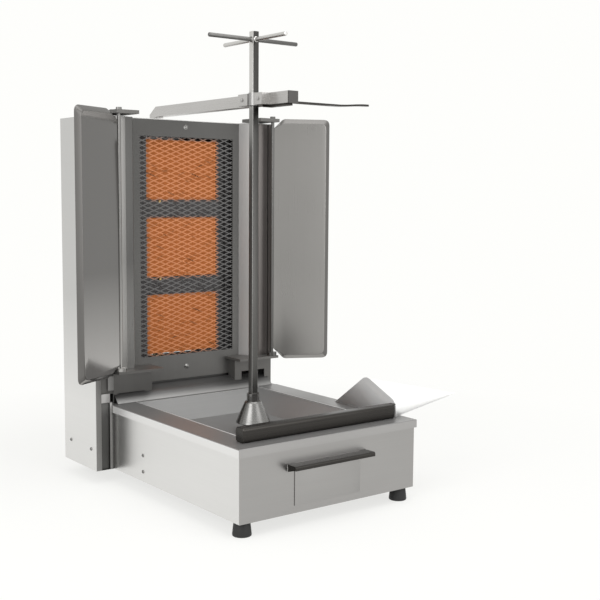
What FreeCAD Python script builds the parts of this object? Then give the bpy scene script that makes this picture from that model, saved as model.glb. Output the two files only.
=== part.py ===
import FreeCAD
import Part
import Sketcher

import math
import os

# Sizes in millimetres, angles in degrees. Every piece is worked out in the machine's own
# coordinates: x = 0 is the skewer's plane, y = 0 the tower's front, z = 0 the floor, front at -y.
# origin_x and origin_y then bring the middle of the whole outline to the origin.
SIZES = {
    "origin_x": -23.6,
    "origin_y": 139.4,
    "panel": 1.5,
    "thin": 1.2,
    "play": 0.3,
    "slip": 0.05,
    # base box
    "foot_tall": 30.0,
    "foot_top": 16.0,
    "foot_bottom": 19.0,
    "foot_inset_side": 22.0,
    "foot_inset_front": 24.0,
    "foot_inset_rear": 33.6,
    "base_wide": 450.0,
    "base_tall": 145.0,
    "base_ahead": 504.0,
    "tower_deep": 163.6,
    "flange": 15.0,
    # deck, pan and rail
    "deck_plate": 2.0,
    "deck_over": 4.0,
    "deck_lip": 15.0,
    "deck_behind": 57.0,
    "rim_side": 57.0,
    "rim_front": 57.0,
    "pan_deep": 48.0,
    "pan_side_run": 38.0,
    "pan_end_run": 42.0,
    "pan_flange": 12.0,
    "drain_bore": 8.0,
    "drain_ahead": 170.0,
    "rail_wide": 392.0,
    "rail_tall": 30.0,
    "rail_deep": 27.0,
    "rail_round": 6.0,
    "rail_setback": 30.0,
    "rail_lip": 9.0,
    # drawer
    "drawer_x": -11.0,
    "drawer_wide": 168.0,
    "drawer_low": 15.0,
    "drawer_tall": 86.0,
    "drawer_inset": 4.0,
    "tray_deep": 190.0,
    "tray_side_gap": 7.0,
    "tray_tall": 70.0,
    "tray_round": 8.0,
    "pull_over": 18.0,
    "pull_deep": 26.0,
    "pull_lip": 8.5,
    "pull_end": 15.0,
    "runner_shelf": 12.0,
    "runner_foot": 12.0,
    # tower
    "tower_tall": 795.0,
    "duct_wide": 45.0,
    "duct_top_drop": 3.0,
    "duct_edge": 13.0,
    "duct_strip": 11.0,
    "duct_slot_top": 150.0,
    "column_front": 20.0,
    "column_flare": 15.0,
    "column_back": 62.0,
    "column_wall": 2.0,
    "rib_wide": 26.0,
    "rib_deep": 6.0,
    "rib_x": 195.0,
    "groove_wide": 7.0,
    "groove_deep": 12.0,
    "frame_y": 49.0,
    "frame_low": 210.0,
    "frame_half": 146.0,
    "frame_fold": 5.0,
    "window_half": 128.0,
    "window_low": 269.0,
    "window_tall": 516.0,
    "mesh_lap": 8.0,
    "mesh_thick": 1.6,
    "mesh_long": 36.0,
    "mesh_short": 24.0,
    "mesh_strand": 2.6,
    "plaque_wide": 192.0,
    "plaque_tall": 140.0,
    "plaque_thick": 12.0,
    "plaque_y": 77.0,
    "plaque_low": 272.5,
    "plaque_pitch": 183.0,
    "burner_deep": 48.0,
    "venturi_bore": 12.0,
    "venturi_long": 52.0,
    "vent_wide": 90.0,
    "vent_tall": 6.0,
    "vent_pitch": 16.0,
    "vent_count": 8.0,
    # gas train on the right
    "tap_y": 105.0,
    "tap_size": 26.0,
    "pipe_outer": 8.0,
    "pipe_y": 141.0,
    "pipe_x": 200.0,
    "inlet_z": 110.0,
    "inlet_thread": 10.5,
    "inlet_out": 22.0,
    "stem_bore": 4.0,
    "stem_out": 16.0,
    "knob_wide": 40.0,
    "knob_deep": 22.0,
    "knob_travel": 3.0,
    "knob_grip": 28.8,
    "knob_ridge": 6.0,
    "pipe_wall": 1.0,
    "inlet_nut": 6.0,
    "inlet_flat": 4.0,
    "probe_bore": 3.0,
    "probe_ahead": 8.0,
    # drive and skewer
    "spit_ahead": 225.0,
    "shaft_bore": 8.0,
    "shaft_gap": 2.0,
    "bell_low": 150.0,
    "bell_high": 197.0,
    "bell_wide": 76.8,
    "bell_narrow": 35.6,
    "bell_wall": 2.0,
    "bell_roof": 6.0,
    "bell_hub": 4.0,
    "socket_tall": 18.0,
    "socket_wide": 28.0,
    "skewer_side": 15.5,
    "skewer_wall": 2.0,
    "skewer_top": 999.0,
    "boss_outer": 22.0,
    "boss_tall": 19.0,
    "boss_foot": 8.0,
    "boss_foot_tall": 3.0,
    "gearbox_side": 90.0,
    "gearbox_tall": 56.0,
    "motor_bore": 30.0,
    "motor_long": 85.0,
    "bracket_side": 140.0,
    "standoff": 6.0,
    "cross_z": 982.0,
    "cross_reach": 115.0,
    "cross_bore": 4.5,
    "collar_bore": 11.75,
    "collar_over": 1.0,
    # top arm
    "arm_side": 25.0,
    "arm_x": 25.5,
    "arm_low": 843.5,
    "arm_front": -329.5,
    "arm_rear": 253.0,
    "arm_cut": 30.0,
    "arm_leg": 60.0,
    "leg_roof": 4.0,
    "post_gap": 2.0,
    "post_foot": 1.0,
    "post_bore": 9.0,
    "post_long": 240.0,
    "fork_reach": 21.0,
    "fork_play": 1.0,
    "fork_rear": 36.0,
    "fork_front": 27.0,
    "arm_cap": 3.0,
    "arm_guide": 76.0,
    "bar_thick": 4.0,
    "bar_wide": 18.0,
    "bar_reach": 208.0,
    "bar_grip": 30.0,
    # side wings
    "hinge_x": 209.0,
    "hinge_y": -6.0,
    "wing_low": 242.5,
    "wing_tall": 594.5,
    "wing_chord": 144.0,
    "wing_start": 4.0,
    "wing_edge": 10.0,
    "wing_round": 15.0,
    "wing_cut": 28.0,
    "wing_cut_top": 24.0,
    "wing_open": 27.0,
    "pin_bore": 4.0,
    "pin_head": 6.5,
    "pin_head_tall": 5.0,
    "spacer_tall": 8.0,
    "spacer_bore": 12.0,
    "lug_low_z": 247.0,
    "lug_low_thick": 6.0,
    "lug_inner": 106.0,
    "lug_top_z": 828.0,
    "lug_top_thick": 8.0,
    "lug_wide": 60.0,
    "lug_bolt": 30.0,
    "lug_bolt_tall": 4.0,
    "lug_washer": 2.0,
    "lug_out": 12.0,
    "stand_inner": 116.0,
    "stand_wall": 2.0,
    "stand_foot": 20.0,
    "stand_arch": 216.0,
    # switch, gland and scoop
    "switch_y": -60.0,
    "switch_z": 110.0,
    "switch_wide": 22.0,
    "switch_tall": 30.0,
    "switch_deep": 20.0,
    "switch_bezel": 2.0,
    "switch_rim": 3.0,
    "switch_room": 8.0,
    "rocker_tilt": 7.0,
    "rocker_thick": 6.0,
    "rocker_side_gap": 1.0,
    "rocker_end_gap": 4.0,
    "rocker_sunk": 2.0,
    "gland_x": 120.0,
    "gland_bore": 4.0,
    "gland_outer": 12.0,
    "gland_nut": 6.0,
    "gland_step": 2.0,
    "scoop_x": 207.0,
    "scoop_near": -465.0,
    "scoop_deep": 205.0,
    "scoop_apex": 99.0,
    "scoop_tall": 76.0,
    "scoop_side": 33.0,
    "scoop_reach": 182.0,
    "scoop_wall": 0.8,
    "scoop_tip_drop": 1.0,
    # screws and hooks
    "screw_bore": 4.0,
    "screw_tall": 2.0,
    "base_screw_y": -132.0,
    "base_screw_high": 88.0,
    "base_screw_low": 52.0,
    "duct_screw_y": 26.5,
    "duct_screw_z": 77.0,
    "duct_screw_back_y": 130.0,
    "duct_screw_back_z": 79.0,
    "hook_x": -5.0,
    "hook_up": 28.0,
    "hook_down": 16.0,
    "hook_bore": 3.5,
    "hook_out": 2.0,
    "washer_bore": 6.0,
    "washer_thick": 1.0,
    # how far a cutter reaches past what it cuts
    "over": 1.0,
}

doc = FreeCAD.newDocument("doner_grill")
sheet = doc.addObject("Spreadsheet::Sheet", "sizes")


class Dim:
    """A size that carries its number and the sheet formula it comes from."""

    def __init__(self, value, text):
        self.value = float(value)
        self.text = text

    @staticmethod
    def of(item):
        """Turn a plain number into a Dim."""
        if isinstance(item, Dim):
            return item
        return Dim(item, repr(float(item)))

    def _join(self, other, sign, value):
        return Dim(value, "(%s %s %s)" % (self.text, sign, other.text))

    def __add__(self, other):
        other = Dim.of(other)
        return self._join(other, "+", self.value + other.value)

    def __sub__(self, other):
        other = Dim.of(other)
        return self._join(other, "-", self.value - other.value)

    def __mul__(self, other):
        other = Dim.of(other)
        return self._join(other, "*", self.value * other.value)

    def __truediv__(self, other):
        other = Dim.of(other)
        return self._join(other, "/", self.value / other.value)

    def __radd__(self, other):
        return Dim.of(other) + self

    def __rsub__(self, other):
        return Dim.of(other) - self

    def __rmul__(self, other):
        return Dim.of(other) * self

    def __neg__(self):
        return Dim.of(0) - self

    def __float__(self):
        return self.value


class Sizes:
    """Writes the sizes into the sheet and gives each one back as a Dim."""

    def __init__(self, table):
        self._table = {}
        for row, (name, value) in enumerate(table.items(), start=1):
            sheet.set("A%d" % row, name)
            sheet.set("B%d" % row, str(value))
            sheet.setAlias("B%d" % row, name)
            self._table[name] = Dim(value, "sizes." + name)

    def __getattr__(self, name):
        return self._table[name]


S = Sizes(SIZES)
doc.recompute()

NODES = []
SPOTS = {}
UP = FreeCAD.Vector(0, 0, 1)


def bind(obj, path, size):
    """Tie one property of an object to a size."""
    obj.setExpression(path, Dim.of(size).text)


def seat(obj, label, x=0, y=0, z=0):
    """Name a finished piece and stand it in the machine's frame."""
    own = SPOTS.get(obj.Name, (0, 0, 0))
    obj.Label = label
    bind(obj, "Placement.Base.x", S.origin_x + x + own[0])
    bind(obj, "Placement.Base.y", S.origin_y + y + own[1])
    bind(obj, "Placement.Base.z", Dim.of(z) + own[2])
    NODES.append(obj)
    return obj


def put(obj, x, y, z):
    """Place a building block in machine coordinates."""
    SPOTS[obj.Name] = (x, y, z)
    bind(obj, "Placement.Base.x", x)
    bind(obj, "Placement.Base.y", y)
    bind(obj, "Placement.Base.z", z)
    return obj


def box(x0, x1, y0, y1, z0, z1):
    """A box between two corners, in machine coordinates."""
    block = doc.addObject("Part::Box", "block")
    bind(block, "Length", Dim.of(x1) - x0)
    bind(block, "Width", Dim.of(y1) - y0)
    bind(block, "Height", Dim.of(z1) - z0)
    return put(block, x0, y0, z0)


TURNS = {
    "z": FreeCAD.Rotation(UP, 0),
    "x": FreeCAD.Rotation(FreeCAD.Vector(0, 1, 0), 90),
    "y": FreeCAD.Rotation(FreeCAD.Vector(1, 0, 0), -90),
}


def rod(x, y, z, radius, long, axis="z"):
    """A round bar that starts at a point and runs along +x, +y or +z."""
    bar = doc.addObject("Part::Cylinder", "bar")
    bar.Placement.Rotation = TURNS[axis]
    bind(bar, "Radius", radius)
    bind(bar, "Height", long)
    return put(bar, x, y, z)


def cone(x, y, z, low, high, tall):
    """A round taper standing at a point."""
    taper = doc.addObject("Part::Cone", "taper")
    bind(taper, "Radius1", low)
    bind(taper, "Radius2", high)
    bind(taper, "Height", tall)
    return put(taper, x, y, z)


def fuse(*parts):
    """Join blocks into one solid."""
    joined = doc.addObject("Part::MultiFuse", "joined")
    joined.Shapes = list(parts)
    joined.Refine = True
    return joined


def cut(base, *tools):
    """Take the tools away from the base."""
    result = doc.addObject("Part::Cut", "cut")
    result.Base = base
    result.Tool = tools[0] if len(tools) == 1 else group(*tools)
    result.Refine = True
    return result


def group(*parts):
    """Keep separate solids together as one node."""
    compound = doc.addObject("Part::Compound", "group")
    compound.Links = list(parts)
    return compound


def body(name):
    """An empty body for sketched features."""
    return doc.addObject("PartDesign::Body", "body_" + name)


def sketch(owner, role, lift=0):
    """A sketch on one of the body's own planes, lifted along the plane's normal."""
    drawing = owner.newObject("Sketcher::SketchObject", "sketch")
    plane = next(f for f in owner.Origin.OriginFeatures if f.Role == role)
    drawing.AttachmentSupport = (plane, [""])
    drawing.MapMode = "FlatFace"
    bind(drawing, "AttachmentOffset.Base.z", lift)
    return drawing


def polygon(drawing, points):
    """A closed outline whose corners are tied to the sizes."""
    first = drawing.GeometryCount
    corners = [(Dim.of(u), Dim.of(v)) for u, v in points]
    spots = [FreeCAD.Vector(float(u), float(v), 0) for u, v in corners]
    count = len(spots)
    for i in range(count):
        drawing.addGeometry(Part.LineSegment(spots[i], spots[(i + 1) % count]), False)
    for i in range(count):
        here = first + i
        after = first + (i + 1) % count
        drawing.addConstraint(Sketcher.Constraint("Coincident", here, 2, after, 1))
    for i, corner in enumerate(corners):
        for way, size in zip(("DistanceX", "DistanceY"), corner):
            rule = Sketcher.Constraint(way, -1, 1, first + i, 1, float(size))
            number = drawing.addConstraint(rule)
            bind(drawing, "Constraints[%d]" % number, size)
    return drawing


def rectangle(drawing, u0, u1, v0, v1):
    """A rectangle between two corners."""
    return polygon(drawing, [(u0, v0), (u1, v0), (u1, v1), (u0, v1)])


def circle(drawing, u, v, radius):
    """A circle whose centre and radius are tied to the sizes."""
    here = drawing.GeometryCount
    centre = FreeCAD.Vector(float(u), float(v), 0)
    drawing.addGeometry(Part.Circle(centre, UP, float(radius)), False)
    rules = [("DistanceX", u, True), ("DistanceY", v, True), ("Radius", radius, False)]
    for way, size, placed in rules:
        spot = (-1, 1, here, 3, float(size)) if placed else (here, float(size))
        number = drawing.addConstraint(Sketcher.Constraint(way, *spot))
        bind(drawing, "Constraints[%d]" % number, size)
    return drawing


def pad(owner, drawing, long, reverse=False):
    """Raise a sketch along its plane's normal, or against it."""
    feature = owner.newObject("PartDesign::Pad", "pad")
    feature.Profile = drawing
    feature.Reversed = reverse
    bind(feature, "Length", long)
    return feature


def pocket(owner, drawing, deep, reverse=False):
    """Sink a sketch into the body against its plane's normal, or along it."""
    feature = owner.newObject("PartDesign::Pocket", "pocket")
    feature.Profile = drawing
    feature.Reversed = reverse
    bind(feature, "Length", deep)
    return feature


def round_edges(owner, keep, radius):
    """Fillet the edges of the body's last feature that a test picks."""
    doc.recompute()
    tip = owner.Tip
    names = ["Edge%d" % n for n, edge in enumerate(tip.Shape.Edges, start=1) if keep(edge)]
    feature = owner.newObject("PartDesign::Fillet", "rounding")
    feature.Base = (tip, names)
    bind(feature, "Radius", radius)
    return feature


def runs_along(edge, axis):
    """True for a straight edge parallel to an axis given as 0, 1 or 2."""
    low = edge.BoundBox.XMin, edge.BoundBox.YMin, edge.BoundBox.ZMin
    high = edge.BoundBox.XMax, edge.BoundBox.YMax, edge.BoundBox.ZMax
    spans = [b - a for a, b in zip(low, high)]
    return all((span > 0.01) == (i == axis) for i, span in enumerate(spans))


# Planes and levels that several pieces share.
half_base = S.base_wide / 2
base_top = S.foot_tall + S.base_tall
deck_top = base_top + S.deck_plate
pan_floor = deck_top - S.pan_deep
base_front = -S.base_ahead
tower_top = S.foot_tall + S.tower_tall
pan_half = half_base - S.rim_side
pan_front = base_front + S.rim_front
tap_front = half_base - S.panel - S.play
spit_y = -S.spit_ahead
boss_top = pan_floor + S.boss_tall
pull_z = S.foot_tall + S.drawer_low + S.drawer_tall
drawer_z = S.foot_tall + S.drawer_low
drawer_half = S.drawer_wide / 2
arm_top = S.arm_low + S.arm_side
arm_left = S.arm_x - S.arm_side / 2
arm_right = S.arm_x + S.arm_side / 2
post_y = S.arm_rear - S.arm_side / 2
SIDES = (("left", -1), ("right", 1))


def make_feet():
    """Four tapered rubber feet under the corners."""
    side = half_base - S.foot_inset_side
    front = base_front + S.foot_inset_front
    rear = S.tower_deep - S.foot_inset_rear
    feet = [
        cone(x, y, 0, S.foot_bottom, S.foot_top, S.foot_tall)
        for x in (-side, side)
        for y in (front, rear)
    ]
    seat(group(*feet), "rubber_feet")


def make_base_sides():
    """Side panels of the base, each folded inward under the deck."""
    for name, sign in SIDES:
        part = body("side_" + name)
        drawing = sketch(part, "XZ_Plane")
        outer = half_base * sign
        inner = (half_base - S.panel) * sign
        fold = (half_base - S.flange) * sign
        top = base_top
        points = [
            (outer, S.foot_tall),
            (outer, top),
            (fold, top),
            (fold, top - S.panel),
            (inner, top - S.panel),
            (inner, S.foot_tall),
        ]
        polygon(drawing, points)
        pad(part, drawing, S.base_ahead + S.tower_deep - 2 * S.panel)
        if sign > 0:
            window = sketch(part, "YZ_Plane", half_base)
            y0 = S.switch_y - S.tower_deep + S.panel
            half = S.switch_wide / 2
            tall = S.switch_tall / 2
            rectangle(window, y0 - half, y0 + half, S.switch_z - tall, S.switch_z + tall)
            pocket(part, window, S.panel * 2)
        seat(part, "base_side_" + name, 0, S.tower_deep - S.panel, 0)


def make_base_front():
    """Front panel with the drawer's opening."""
    part = body("front")
    drawing = sketch(part, "XZ_Plane")
    rectangle(drawing, -half_base, half_base, S.foot_tall, base_top)
    left = S.drawer_x - drawer_half + S.drawer_inset
    right = S.drawer_x + drawer_half - S.drawer_inset
    rectangle(drawing, left, right, drawer_z + S.drawer_inset, pull_z - S.drawer_inset)
    pad(part, drawing, S.panel)
    seat(part, "base_front", 0, base_front + S.panel, 0)


def make_base_bottom():
    """Bottom plate with air slots, between the side panels."""
    part = body("bottom")
    drawing = sketch(part, "XY_Plane")
    half = half_base - S.panel
    rectangle(drawing, -half, half, base_front + S.panel, S.tower_deep - S.panel)
    pad(part, drawing, S.panel)
    slots = sketch(part, "XY_Plane", S.panel)
    slot_x = S.gearbox_side / 2 + S.vent_wide / 2
    slot_y = spit_y + S.vent_wide / 2
    rectangle(slots, slot_x, slot_x + S.vent_tall, slot_y, slot_y + S.vent_wide)
    first = pocket(part, slots, S.panel * 2)
    row = part.newObject("PartDesign::LinearPattern", "slot_row")
    row.Originals = [first]
    row.Direction = (slots, ["H_Axis"])
    bind(row, "Length", S.vent_pitch * 4)
    row.Occurrences = 5
    part.Tip = row
    seat(part, "base_bottom", 0, 0, S.foot_tall)


def make_deck():
    """Deck plate with a wide opening for the pan and lips turned down over the base."""
    part = body("deck")
    edge = half_base + S.deck_over
    front = base_front - S.deck_over
    plate = sketch(part, "XY_Plane", 0)
    outline = [
        (-edge, front),
        (edge, front),
        (edge, 0),
        (half_base, 0),
        (half_base, S.deck_behind),
        (-half_base, S.deck_behind),
        (-half_base, 0),
        (-edge, 0),
    ]
    polygon(plate, outline)
    rectangle(plate, -pan_half, pan_half, pan_front, 0)
    pad(part, plate, S.deck_plate)
    lip = sketch(part, "XY_Plane", 0)
    inner = edge - S.panel
    points = [
        (-edge, 0),
        (-edge, front),
        (edge, front),
        (edge, 0),
        (inner, 0),
        (inner, front + S.panel),
        (-inner, front + S.panel),
        (-inner, 0),
    ]
    polygon(lip, points)
    pad(part, lip, S.deck_lip, reverse=True)
    top = float(S.deck_plate)
    limit = float(edge) - 0.1
    ahead = float(front) + 0.1

    def outer_top(line):
        box_ = line.BoundBox
        flat = abs(box_.ZMin - top) < 0.01 and abs(box_.ZMax - top) < 0.01
        return flat and (box_.XMin > limit or box_.XMax < -limit or box_.YMax < ahead)

    round_edges(part, outer_top, S.deck_plate * 0.7)
    seat(part, "deck", 0, 0, base_top)


def make_pan():
    """Fat pan with sloping walls, a flange under the deck, a drain and the drive's hole."""
    part = body("pan")
    wide = pan_half
    narrow = pan_half - S.pan_side_run
    near = pan_front
    low_near = pan_front + S.pan_end_run
    low_far = -S.pan_end_run
    t = S.thin
    deep = S.pan_deep - S.deck_plate
    top = sketch(part, "XY_Plane", 0)
    rectangle(top, -wide - t, wide + t, near - t, t)
    bottom = sketch(part, "XY_Plane", -(deep + t))
    rectangle(bottom, -narrow - t, narrow + t, low_near - t, low_far + t)
    outside = part.newObject("PartDesign::AdditiveLoft", "outside")
    outside.Profile = top
    outside.Sections = [bottom]
    outside.Ruled = True
    brim = sketch(part, "XY_Plane", 0)
    reach = wide + S.pan_flange
    rectangle(brim, -reach, reach, near - S.pan_flange, S.pan_flange)
    pad(part, brim, t, reverse=True)
    mouth = sketch(part, "XY_Plane", 0)
    rectangle(mouth, -wide, wide, near, 0)
    floor = sketch(part, "XY_Plane", -deep)
    rectangle(floor, -narrow, narrow, low_near, low_far)
    inside = part.newObject("PartDesign::SubtractiveLoft", "inside")
    inside.Profile = mouth
    inside.Sections = [floor]
    inside.Ruled = True
    holes = sketch(part, "XY_Plane", -deep)
    circle(holes, 0, spit_y, S.shaft_bore + S.shaft_gap)
    circle(holes, S.drawer_x, spit_y - S.drain_ahead, S.drain_bore)
    pocket(part, holes, t * 3)
    seat(part, "fat_pan", 0, 0, base_top)


def make_rail():
    """Rounded bar along the front rim that keeps the carved meat on the deck."""
    part = body("rail")
    drawing = sketch(part, "YZ_Plane")
    rectangle(drawing, 0, S.rail_deep, 0, S.rail_tall)
    pad(part, drawing, S.rail_wide)
    ridge = float(S.rail_tall)
    round_edges(part, lambda e: runs_along(e, 0) and e.BoundBox.ZMin > ridge - 0.1, S.rail_round)
    lip = sketch(part, "YZ_Plane", S.rail_wide)
    rectangle(lip, S.rail_round, S.rail_deep - S.rail_round, S.rail_tall - S.deck_plate, S.rail_tall)
    pad(part, lip, S.rail_lip)
    seat(part, "front_rail", -S.rail_wide / 2, base_front + S.rail_setback, deck_top)


def make_drawer():
    """Grease drawer: a proud front plate, a folded pull along its top and a tray behind."""
    left = S.drawer_x - drawer_half
    right = S.drawer_x + drawer_half
    face = base_front - S.play
    plate = box(left, right, face - S.panel, face, drawer_z, pull_z)
    seat(plate, "drawer_front")

    grip = body("pull")
    root = S.pull_over
    wide = S.drawer_wide + 2 * root
    shelf = sketch(grip, "XY_Plane")
    rectangle(shelf, 0, wide, -S.pull_deep, 0)
    pad(grip, shelf, S.panel)
    lip = sketch(grip, "XZ_Plane", S.pull_deep)
    rectangle(lip, 0, wide, S.panel - S.pull_lip, S.panel)
    pad(grip, lip, S.panel, reverse=True)
    for x in (Dim.of(0), wide - S.panel):
        cheek = sketch(grip, "YZ_Plane", x)
        points = [
            (-S.pull_deep, S.panel),
            (-S.pull_deep, S.panel - S.pull_lip),
            (0, S.panel - S.pull_end),
            (0, S.panel),
        ]
        polygon(cheek, points)
        pad(grip, cheek, S.panel)
    front = -float(S.pull_deep)

    def front_corner(line):
        spot = line.BoundBox
        return runs_along(line, 0) and spot.YMax < front + 0.01 and spot.ZMin > float(S.panel) - 0.01

    round_edges(grip, front_corner, S.panel * 0.6)
    seat(grip, "drawer_pull", left - root, face - S.panel, pull_z - S.panel)

    tray = body("tray")
    gap = S.tray_side_gap
    tray_wide = S.drawer_wide - 2 * gap
    outline = sketch(tray, "XY_Plane")
    rectangle(outline, 0, tray_wide, 0, S.tray_deep)
    pad(tray, outline, S.tray_tall)
    round_edges(tray, lambda e: runs_along(e, 2), S.tray_round)
    hollow = sketch(tray, "XY_Plane", S.tray_tall)
    t = S.thin
    r = S.tray_round
    rectangle(hollow, t + r / 3, tray_wide - t - r / 3, t, S.tray_deep - t)
    pocket(tray, hollow, S.tray_tall - t)
    low = drawer_z + S.drawer_inset + S.panel
    seat(tray, "drawer_tray", left + gap, face, low)

    rails = []
    for sign in (-1, 1):
        web = S.drawer_x + sign * (drawer_half - gap + S.play)
        foot = web + sign * S.runner_foot
        shelf_x = web - sign * S.runner_shelf
        part = body("runner")
        drawing = sketch(part, "XZ_Plane")
        base = S.panel
        t_side = sign * S.panel
        shelf_z = low - S.foot_tall - S.play
        points = [
            (foot, base),
            (foot, base * 2),
            (web + t_side, base * 2),
            (web + t_side, shelf_z + S.runner_shelf),
            (web, shelf_z + S.runner_shelf),
            (web, shelf_z),
            (shelf_x, shelf_z),
            (shelf_x, shelf_z - S.panel),
            (web, shelf_z - S.panel),
            (web, base),
        ]
        polygon(drawing, points)
        pad(part, drawing, S.tray_deep)
        rails.append(part)
        bind(part, "Placement.Base.y", base_front + S.panel + S.tray_deep)
        bind(part, "Placement.Base.z", S.foot_tall)
    seat(group(*rails), "drawer_runners")


def make_duct():
    """Tall cheek on the tower's left: an open-fronted channel with an inner strip below the deck."""
    part = body("duct")
    drawing = sketch(part, "XY_Plane")
    t = S.panel
    outer = -half_base - S.duct_wide
    inner = -half_base
    deep = S.tower_deep
    points = [
        (outer, 0),
        (outer + S.duct_edge, 0),
        (outer + S.duct_edge, t),
        (outer + t, t),
        (outer + t, deep - t),
        (inner, deep - t),
        (inner, deep),
        (outer, deep),
    ]
    polygon(drawing, points)
    pad(part, drawing, S.tower_tall - S.duct_top_drop)
    seat(part, "duct_left", 0, 0, S.foot_tall)

    strip = body("strip")
    plan = sketch(strip, "XY_Plane")
    points = [
        (inner - S.duct_strip, 0),
        (inner - S.play, 0),
        (inner - S.play, S.duct_wide),
        (inner - S.play - t, S.duct_wide),
        (inner - S.play - t, t),
        (inner - S.duct_strip, t),
    ]
    polygon(plan, points)
    pad(strip, plan, S.duct_slot_top)
    bind(strip, "Placement.Base.z", t)

    base = box(outer + t, inner, t, deep - t, 0, t)
    top_z = S.tower_tall - S.duct_top_drop - t
    top = box(outer + t, inner, t, deep - t, top_z, top_z + t)
    wall_low = S.duct_slot_top + 2 * t
    wall = box(inner - t, inner, t, deep - t, wall_low, top_z)
    seat(group(strip, base, top, wall), "duct_closures", 0, 0, S.foot_tall)


def make_tower_shell():
    """Right side with the taps' holes, rear cover with its air slots, and top cover."""
    t = S.panel
    side = body("tower_side")
    drawing = sketch(side, "YZ_Plane")
    low = base_top
    rectangle(drawing, S.column_back, S.tower_deep - t, low, tower_top - t)
    for level in range(3):
        circle(drawing, S.tap_y, burner_z(level), S.stem_bore + 2)
    pad(side, drawing, t)
    seat(side, "tower_side_right", half_base - t, 0, 0)

    rear = body("rear")
    plan = sketch(rear, "XZ_Plane")
    rectangle(plan, -half_base, half_base, S.foot_tall, tower_top - t)
    circle(plan, S.pipe_x, S.inlet_z, S.pipe_outer + 1)
    circle(plan, S.gland_x, S.inlet_z, S.gland_bore + 3)
    pad(rear, plan, t)
    slot = sketch(rear, "XZ_Plane", t)
    slot_z = low + S.vent_pitch * 2
    rectangle(slot, -S.vent_wide, S.vent_wide, slot_z, slot_z + S.vent_tall)
    first = pocket(rear, slot, t * 2)
    rows = rear.newObject("PartDesign::LinearPattern", "slot_rows")
    rows.Originals = [first]
    rows.Direction = (slot, ["V_Axis"])
    bind(rows, "Length", S.vent_pitch * (S.vent_count - 1))
    bind(rows, "Occurrences", S.vent_count)
    rear.Tip = rows
    seat(rear, "rear_cover", 0, S.tower_deep, 0)

    top = body("tower_top")
    cover = sketch(top, "XY_Plane")
    flare = S.frame_half + S.column_flare
    ahead = S.column_front
    points = [
        (-half_base, ahead),
        (-flare, ahead),
        (-S.frame_half, S.frame_y),
        (S.frame_half, S.frame_y),
        (flare, ahead),
        (half_base, ahead),
        (half_base, S.tower_deep),
        (-half_base, S.tower_deep),
    ]
    polygon(cover, points)
    pad(top, cover, t)
    seat(top, "tower_top", 0, 0, tower_top - t)


def burner_z(level):
    """Height of a burner's middle, counted from the lowest."""
    return S.plaque_low + S.plaque_tall / 2 + level * S.plaque_pitch


def make_columns():
    """Hollow columns beside the burners, flared at the inside and ribbed at the front."""
    for name, sign in SIDES:
        part = body("column_" + name)
        drawing = sketch(part, "XY_Plane")
        ahead = S.column_front
        inner = S.frame_half
        flare = inner + S.column_flare
        rib_in = S.rib_x - S.rib_wide / 2
        rib_out = S.rib_x + S.rib_wide / 2
        rib_y = ahead - S.rib_deep
        sink = ahead + S.groove_deep
        outside = [
            (inner, S.column_back),
            (inner, S.frame_y),
            (flare, ahead),
            (rib_in, ahead),
            (rib_in, rib_y),
            (rib_out, rib_y),
            (rib_out, sink),
            (rib_out + S.groove_wide, sink),
            (rib_out + S.groove_wide, ahead),
            (half_base, ahead),
            (half_base, S.column_back),
        ]
        w = S.column_wall
        inside = [
            (inner + w, S.column_back - w),
            (inner + w, S.frame_y + w / 4),
            (flare + w * 0.7, ahead + w),
            (rib_in + w, ahead + w),
            (rib_in + w, rib_y + w),
            (rib_out - w, rib_y + w),
            (rib_out - w, sink + w),
            (half_base - w, sink + w),
            (half_base - w, S.column_back - w),
        ]
        polygon(drawing, [(sign * u, v) for u, v in outside])
        polygon(drawing, [(sign * u, v) for u, v in inside])
        low = S.lug_low_z + S.lug_low_thick
        pad(part, drawing, tower_top - S.panel - low)
        seat(part, "column_" + name, 0, 0, low)


def make_burner_frame():
    """Plate with one tall window and a back fold along its sides."""
    part = body("burner_frame")
    drawing = sketch(part, "XZ_Plane")
    edge = S.frame_half
    top = tower_top - S.panel
    rectangle(drawing, -edge, edge, S.frame_low, top)
    rectangle(drawing, -S.window_half, S.window_half, S.window_low, S.window_low + S.window_tall)
    pad(part, drawing, S.panel)
    fold = sketch(part, "XZ_Plane")
    rectangle(fold, -edge, edge, S.frame_low, S.frame_low + S.panel)
    pad(part, fold, S.frame_fold, reverse=True)
    seat(part, "burner_frame", 0, S.frame_y + S.panel, 0)


def diamond(x, z, half_long, half_short):
    """Closed wire of one mesh opening."""
    spots = [(x - half_long, z), (x, z - half_short), (x + half_long, z), (x, z + half_short)]
    corners = [FreeCAD.Vector(u, 0, v) for u, v in spots + spots[:1]]
    return Part.makePolygon(corners)


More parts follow.
